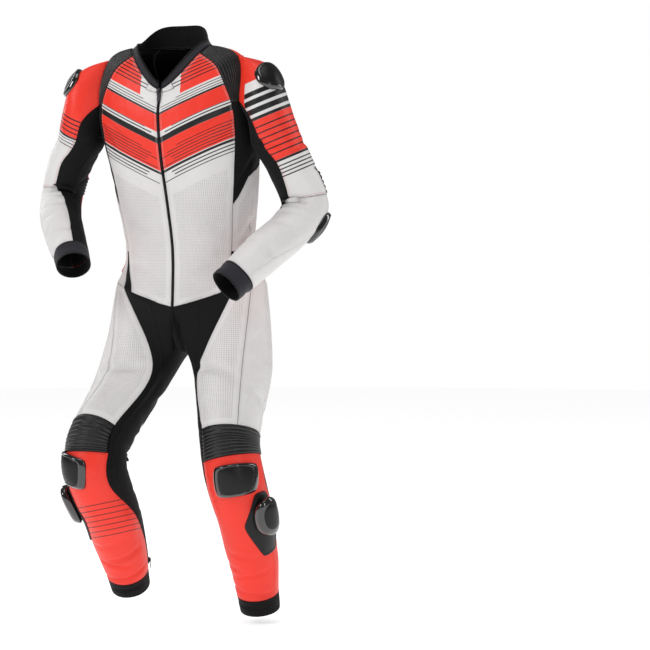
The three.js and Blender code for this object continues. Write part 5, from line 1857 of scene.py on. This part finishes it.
class SUIT_OT_zips(bpy.types.Operator):
    """Set the zip teeth and the flaps at the zip's top, and finish the sliders and pulls"""

    bl_idname = "suit.zips"
    bl_label = "Zips"

    def execute(self, context):
        bm = new_bmesh()
        found, facing, _ = path_on("torso", 1, ZIP_ENDS, TOOTH_PITCH / 2)
        along, across = directions(found, facing)
        for n, point in enumerate(found):
            side = 1 if n % 2 else -1
            middle = point + across[n] * (side * 0.8) + facing[n] * TOOTH_OUT
            turn = Matrix([Vector(v) for v in (across[n], along[n], facing[n])]).transposed()
            made = bmesh.ops.create_cube(bm, size=1)["verts"]
            bmesh.ops.scale(bm, vec=Vector(TOOTH) * MM, verts=made)
            bmesh.ops.transform(bm, matrix=turn.to_4x4(), verts=made)
            bmesh.ops.translate(bm, vec=Vector(middle * MM), verts=made)
        add_object("zip_teeth", bm, material_of("metal"), None)
        for side in SIDES:
            self.flap(side)
        for node in NODE_SLOT:
            if node.endswith(("slider", "pull")) or node.startswith("calf_zip"):
                chain = node in ("calf_zip_left", "calf_zip_right")
                for slot in bpy.data.objects[node].material_slots:
                    slot.material = material_of("chain" if chain else "metal")
        return {"FINISHED"}

    def flap(self, side):
        """One of the two small flaps that meet at the top of the front zip."""
        bm = new_bmesh()
        rows = np.linspace(*GARAGE["rows"], GARAGE["cells"] + 1)
        columns = np.linspace(*GARAGE["columns"], GARAGE["cells"] + 1)
        cells = GARAGE["cells"]

        def rise(i, j):
            edge = np.minimum(np.minimum(i, cells - i), np.minimum(j, cells - j))
            return np.where(edge > 0, GARAGE["rise"], GARAGE["rise"] * 0.35)

        add_patch(bm, "torso", side, rows, columns, rise)
        bm.verts.ensure_lookup_table()
        bm.edges.ensure_lookup_table()
        seam_places(bm)
        area = cloth_area(bm)
        piece = add_object(
            f"zip_flap_{SIDE_NAME[side]}", bm, material_of("thigh_outer"), None
        )
        wall = piece.modifiers.new("Wall", "SOLIDIFY")
        wall.thickness = FLAP_WALL * MM
        wall.offset = -1
        length = round(1.25 * area / FLAP_WIDTH, 4)


# The photograph's camera, in metres: the front is seen from a little to the wearer's left.
CAMERA_EYE = (2.1333, -4.5336, -0.4620)
CAMERA_TARGET = (0.3425, 0.1315, -0.6365)
CAMERA_LENS = 114.4
SENSOR = 36
FLOOR_RADIUS = 9
FLOOR_GLOW = 0.5  # lifts the floor to the white of the room
FLOOR_DROP = 0.02  # the floor lies this far below the lower hem


class SUIT_OT_stage(bpy.types.Operator):
    """Set the floor, the soft studio light and the photograph's camera"""

    bl_idname = "suit.stage"
    bl_label = "Stage"

    def execute(self, context):
        low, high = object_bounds()
        bm = bmesh.new()
        bmesh.ops.create_circle(bm, cap_ends=True, segments=96, radius=FLOOR_RADIUS)
        bmesh.ops.translate(bm, verts=bm.verts, vec=(0, 0, low[2] - FLOOR_DROP))
        mesh = bpy.data.meshes.new("floor")
        bm.to_mesh(mesh)
        bm.free()
        floor = bpy.data.objects.new("floor", mesh)
        context.scene.collection.objects.link(floor)
        pale = bpy.data.materials.new("studio_floor")
        pale.use_nodes = True
        shader = pale.node_tree.nodes["Principled BSDF"]
        shader.inputs["Base Color"].default_value = (0.93, 0.93, 0.93, 1)
        shader.inputs["Emission Color"].default_value = (1, 1, 1, 1)
        shader.inputs["Emission Strength"].default_value = FLOOR_GLOW
        shader.inputs["Roughness"].default_value = 0.9
        mesh.materials.append(pale)
        floor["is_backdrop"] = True
        world = bpy.data.worlds.new("studio")
        world.use_nodes = True
        tree = world.node_tree
        sky = tree.nodes["Background"]
        sky.inputs["Color"].default_value = (1, 1, 1, 1)
        path = tree.nodes.new("ShaderNodeLightPath")
        seen = tree.nodes.new("ShaderNodeMix")
        seen.inputs[2].default_value = SKY["light"]
        seen.inputs[3].default_value = SKY["seen"]
        tree.links.new(path.outputs["Is Camera Ray"], seen.inputs[0])
        mirrored = tree.nodes.new("ShaderNodeMix")
        mirrored.inputs[3].default_value = SKY["mirrored"]
        tree.links.new(path.outputs["Is Glossy Ray"], mirrored.inputs[0])
        tree.links.new(seen.outputs[0], mirrored.inputs[2])
        tree.links.new(mirrored.outputs[0], sky.inputs["Strength"])
        context.scene.world = world
        for name, place, size, power in LIGHTS:
            light = bpy.data.lights.new(name, "AREA")
            light.shape = "RECTANGLE"
            light.size, light.size_y = size
            light.energy = power
            lamp = bpy.data.objects.new(name, light)
            lamp.location = place
            aim = Vector((0, 0, -0.6)) - Vector(place)
            lamp.rotation_euler = aim.to_track_quat("-Z", "Y").to_euler()
            context.scene.collection.objects.link(lamp)
        camera = bpy.data.cameras.new("camera")
        camera.lens = CAMERA_LENS
        camera.sensor_width = SENSOR
        camera.clip_end = 50
        eye = bpy.data.objects.new("camera", camera)
        eye.location = CAMERA_EYE
        aim = Vector(CAMERA_TARGET) - Vector(CAMERA_EYE)
        eye.rotation_euler = aim.to_track_quat("-Z", "Y").to_euler()
        context.scene.collection.objects.link(eye)
        context.scene.camera = eye
        return {"FINISHED"}


# How bright the white room is as light on cloth, as seen by the camera and as mirrored in gloss.
SKY = {"light": 0.52, "seen": 1.0, "mirrored": 0.16}
LIGHTS = [
    ("key", (-2.2, -3.2, 1.6), (0.9, 1.5), 60),
    ("fill", (3.6, -2.4, 0.4), (0.8, 2.0), 22),
    ("top", (0.2, -0.6, 2.6), (1.8, 1.8), 26),
    ("rim_left", (-2.8, 1.4, 0.9), (0.6, 2.2), 18),
    ("rim_right", (2.6, 2.2, 0.9), (0.6, 2.2), 20),
]


class SUIT_PT_panel(bpy.types.Panel):
    """Lists the suit's operators and sizes"""

    bl_idname = "SUIT_PT_panel"
    bl_label = "Race suit"
    bl_space_type = "VIEW_3D"
    bl_region_type = "UI"
    bl_category = "Race suit"

    def draw(self, context):
        for name in ("wall", "white", "red", "black", "charcoal"):
            self.layout.prop(context.scene.suit_cloth, name)
        for operator in OPERATORS:
            self.layout.operator(operator.bl_idname)


OPERATORS = (SUIT_OT_panels, SUIT_OT_ribs, SUIT_OT_plates, SUIT_OT_laps, SUIT_OT_zips, SUIT_OT_stage)
CLASSES = (SuitCloth, *OPERATORS, SUIT_PT_panel)


def register():
    for cls in CLASSES:
        bpy.utils.register_class(cls)
    bpy.types.Scene.suit_cloth = bpy.props.PointerProperty(type=SuitCloth)


def unregister():
    del bpy.types.Scene.suit_cloth
    for cls in reversed(CLASSES):
        bpy.utils.unregister_class(cls)


def main():
    register()
    bpy.ops.suit.stage()
    bpy.ops.suit.panels()
    bpy.ops.suit.ribs()
    bpy.ops.suit.plates()
    bpy.ops.suit.laps()
    bpy.ops.suit.zips()
    bpy.context.scene.view_settings.view_transform = "Standard"


if __name__ == "__main__":
    main()
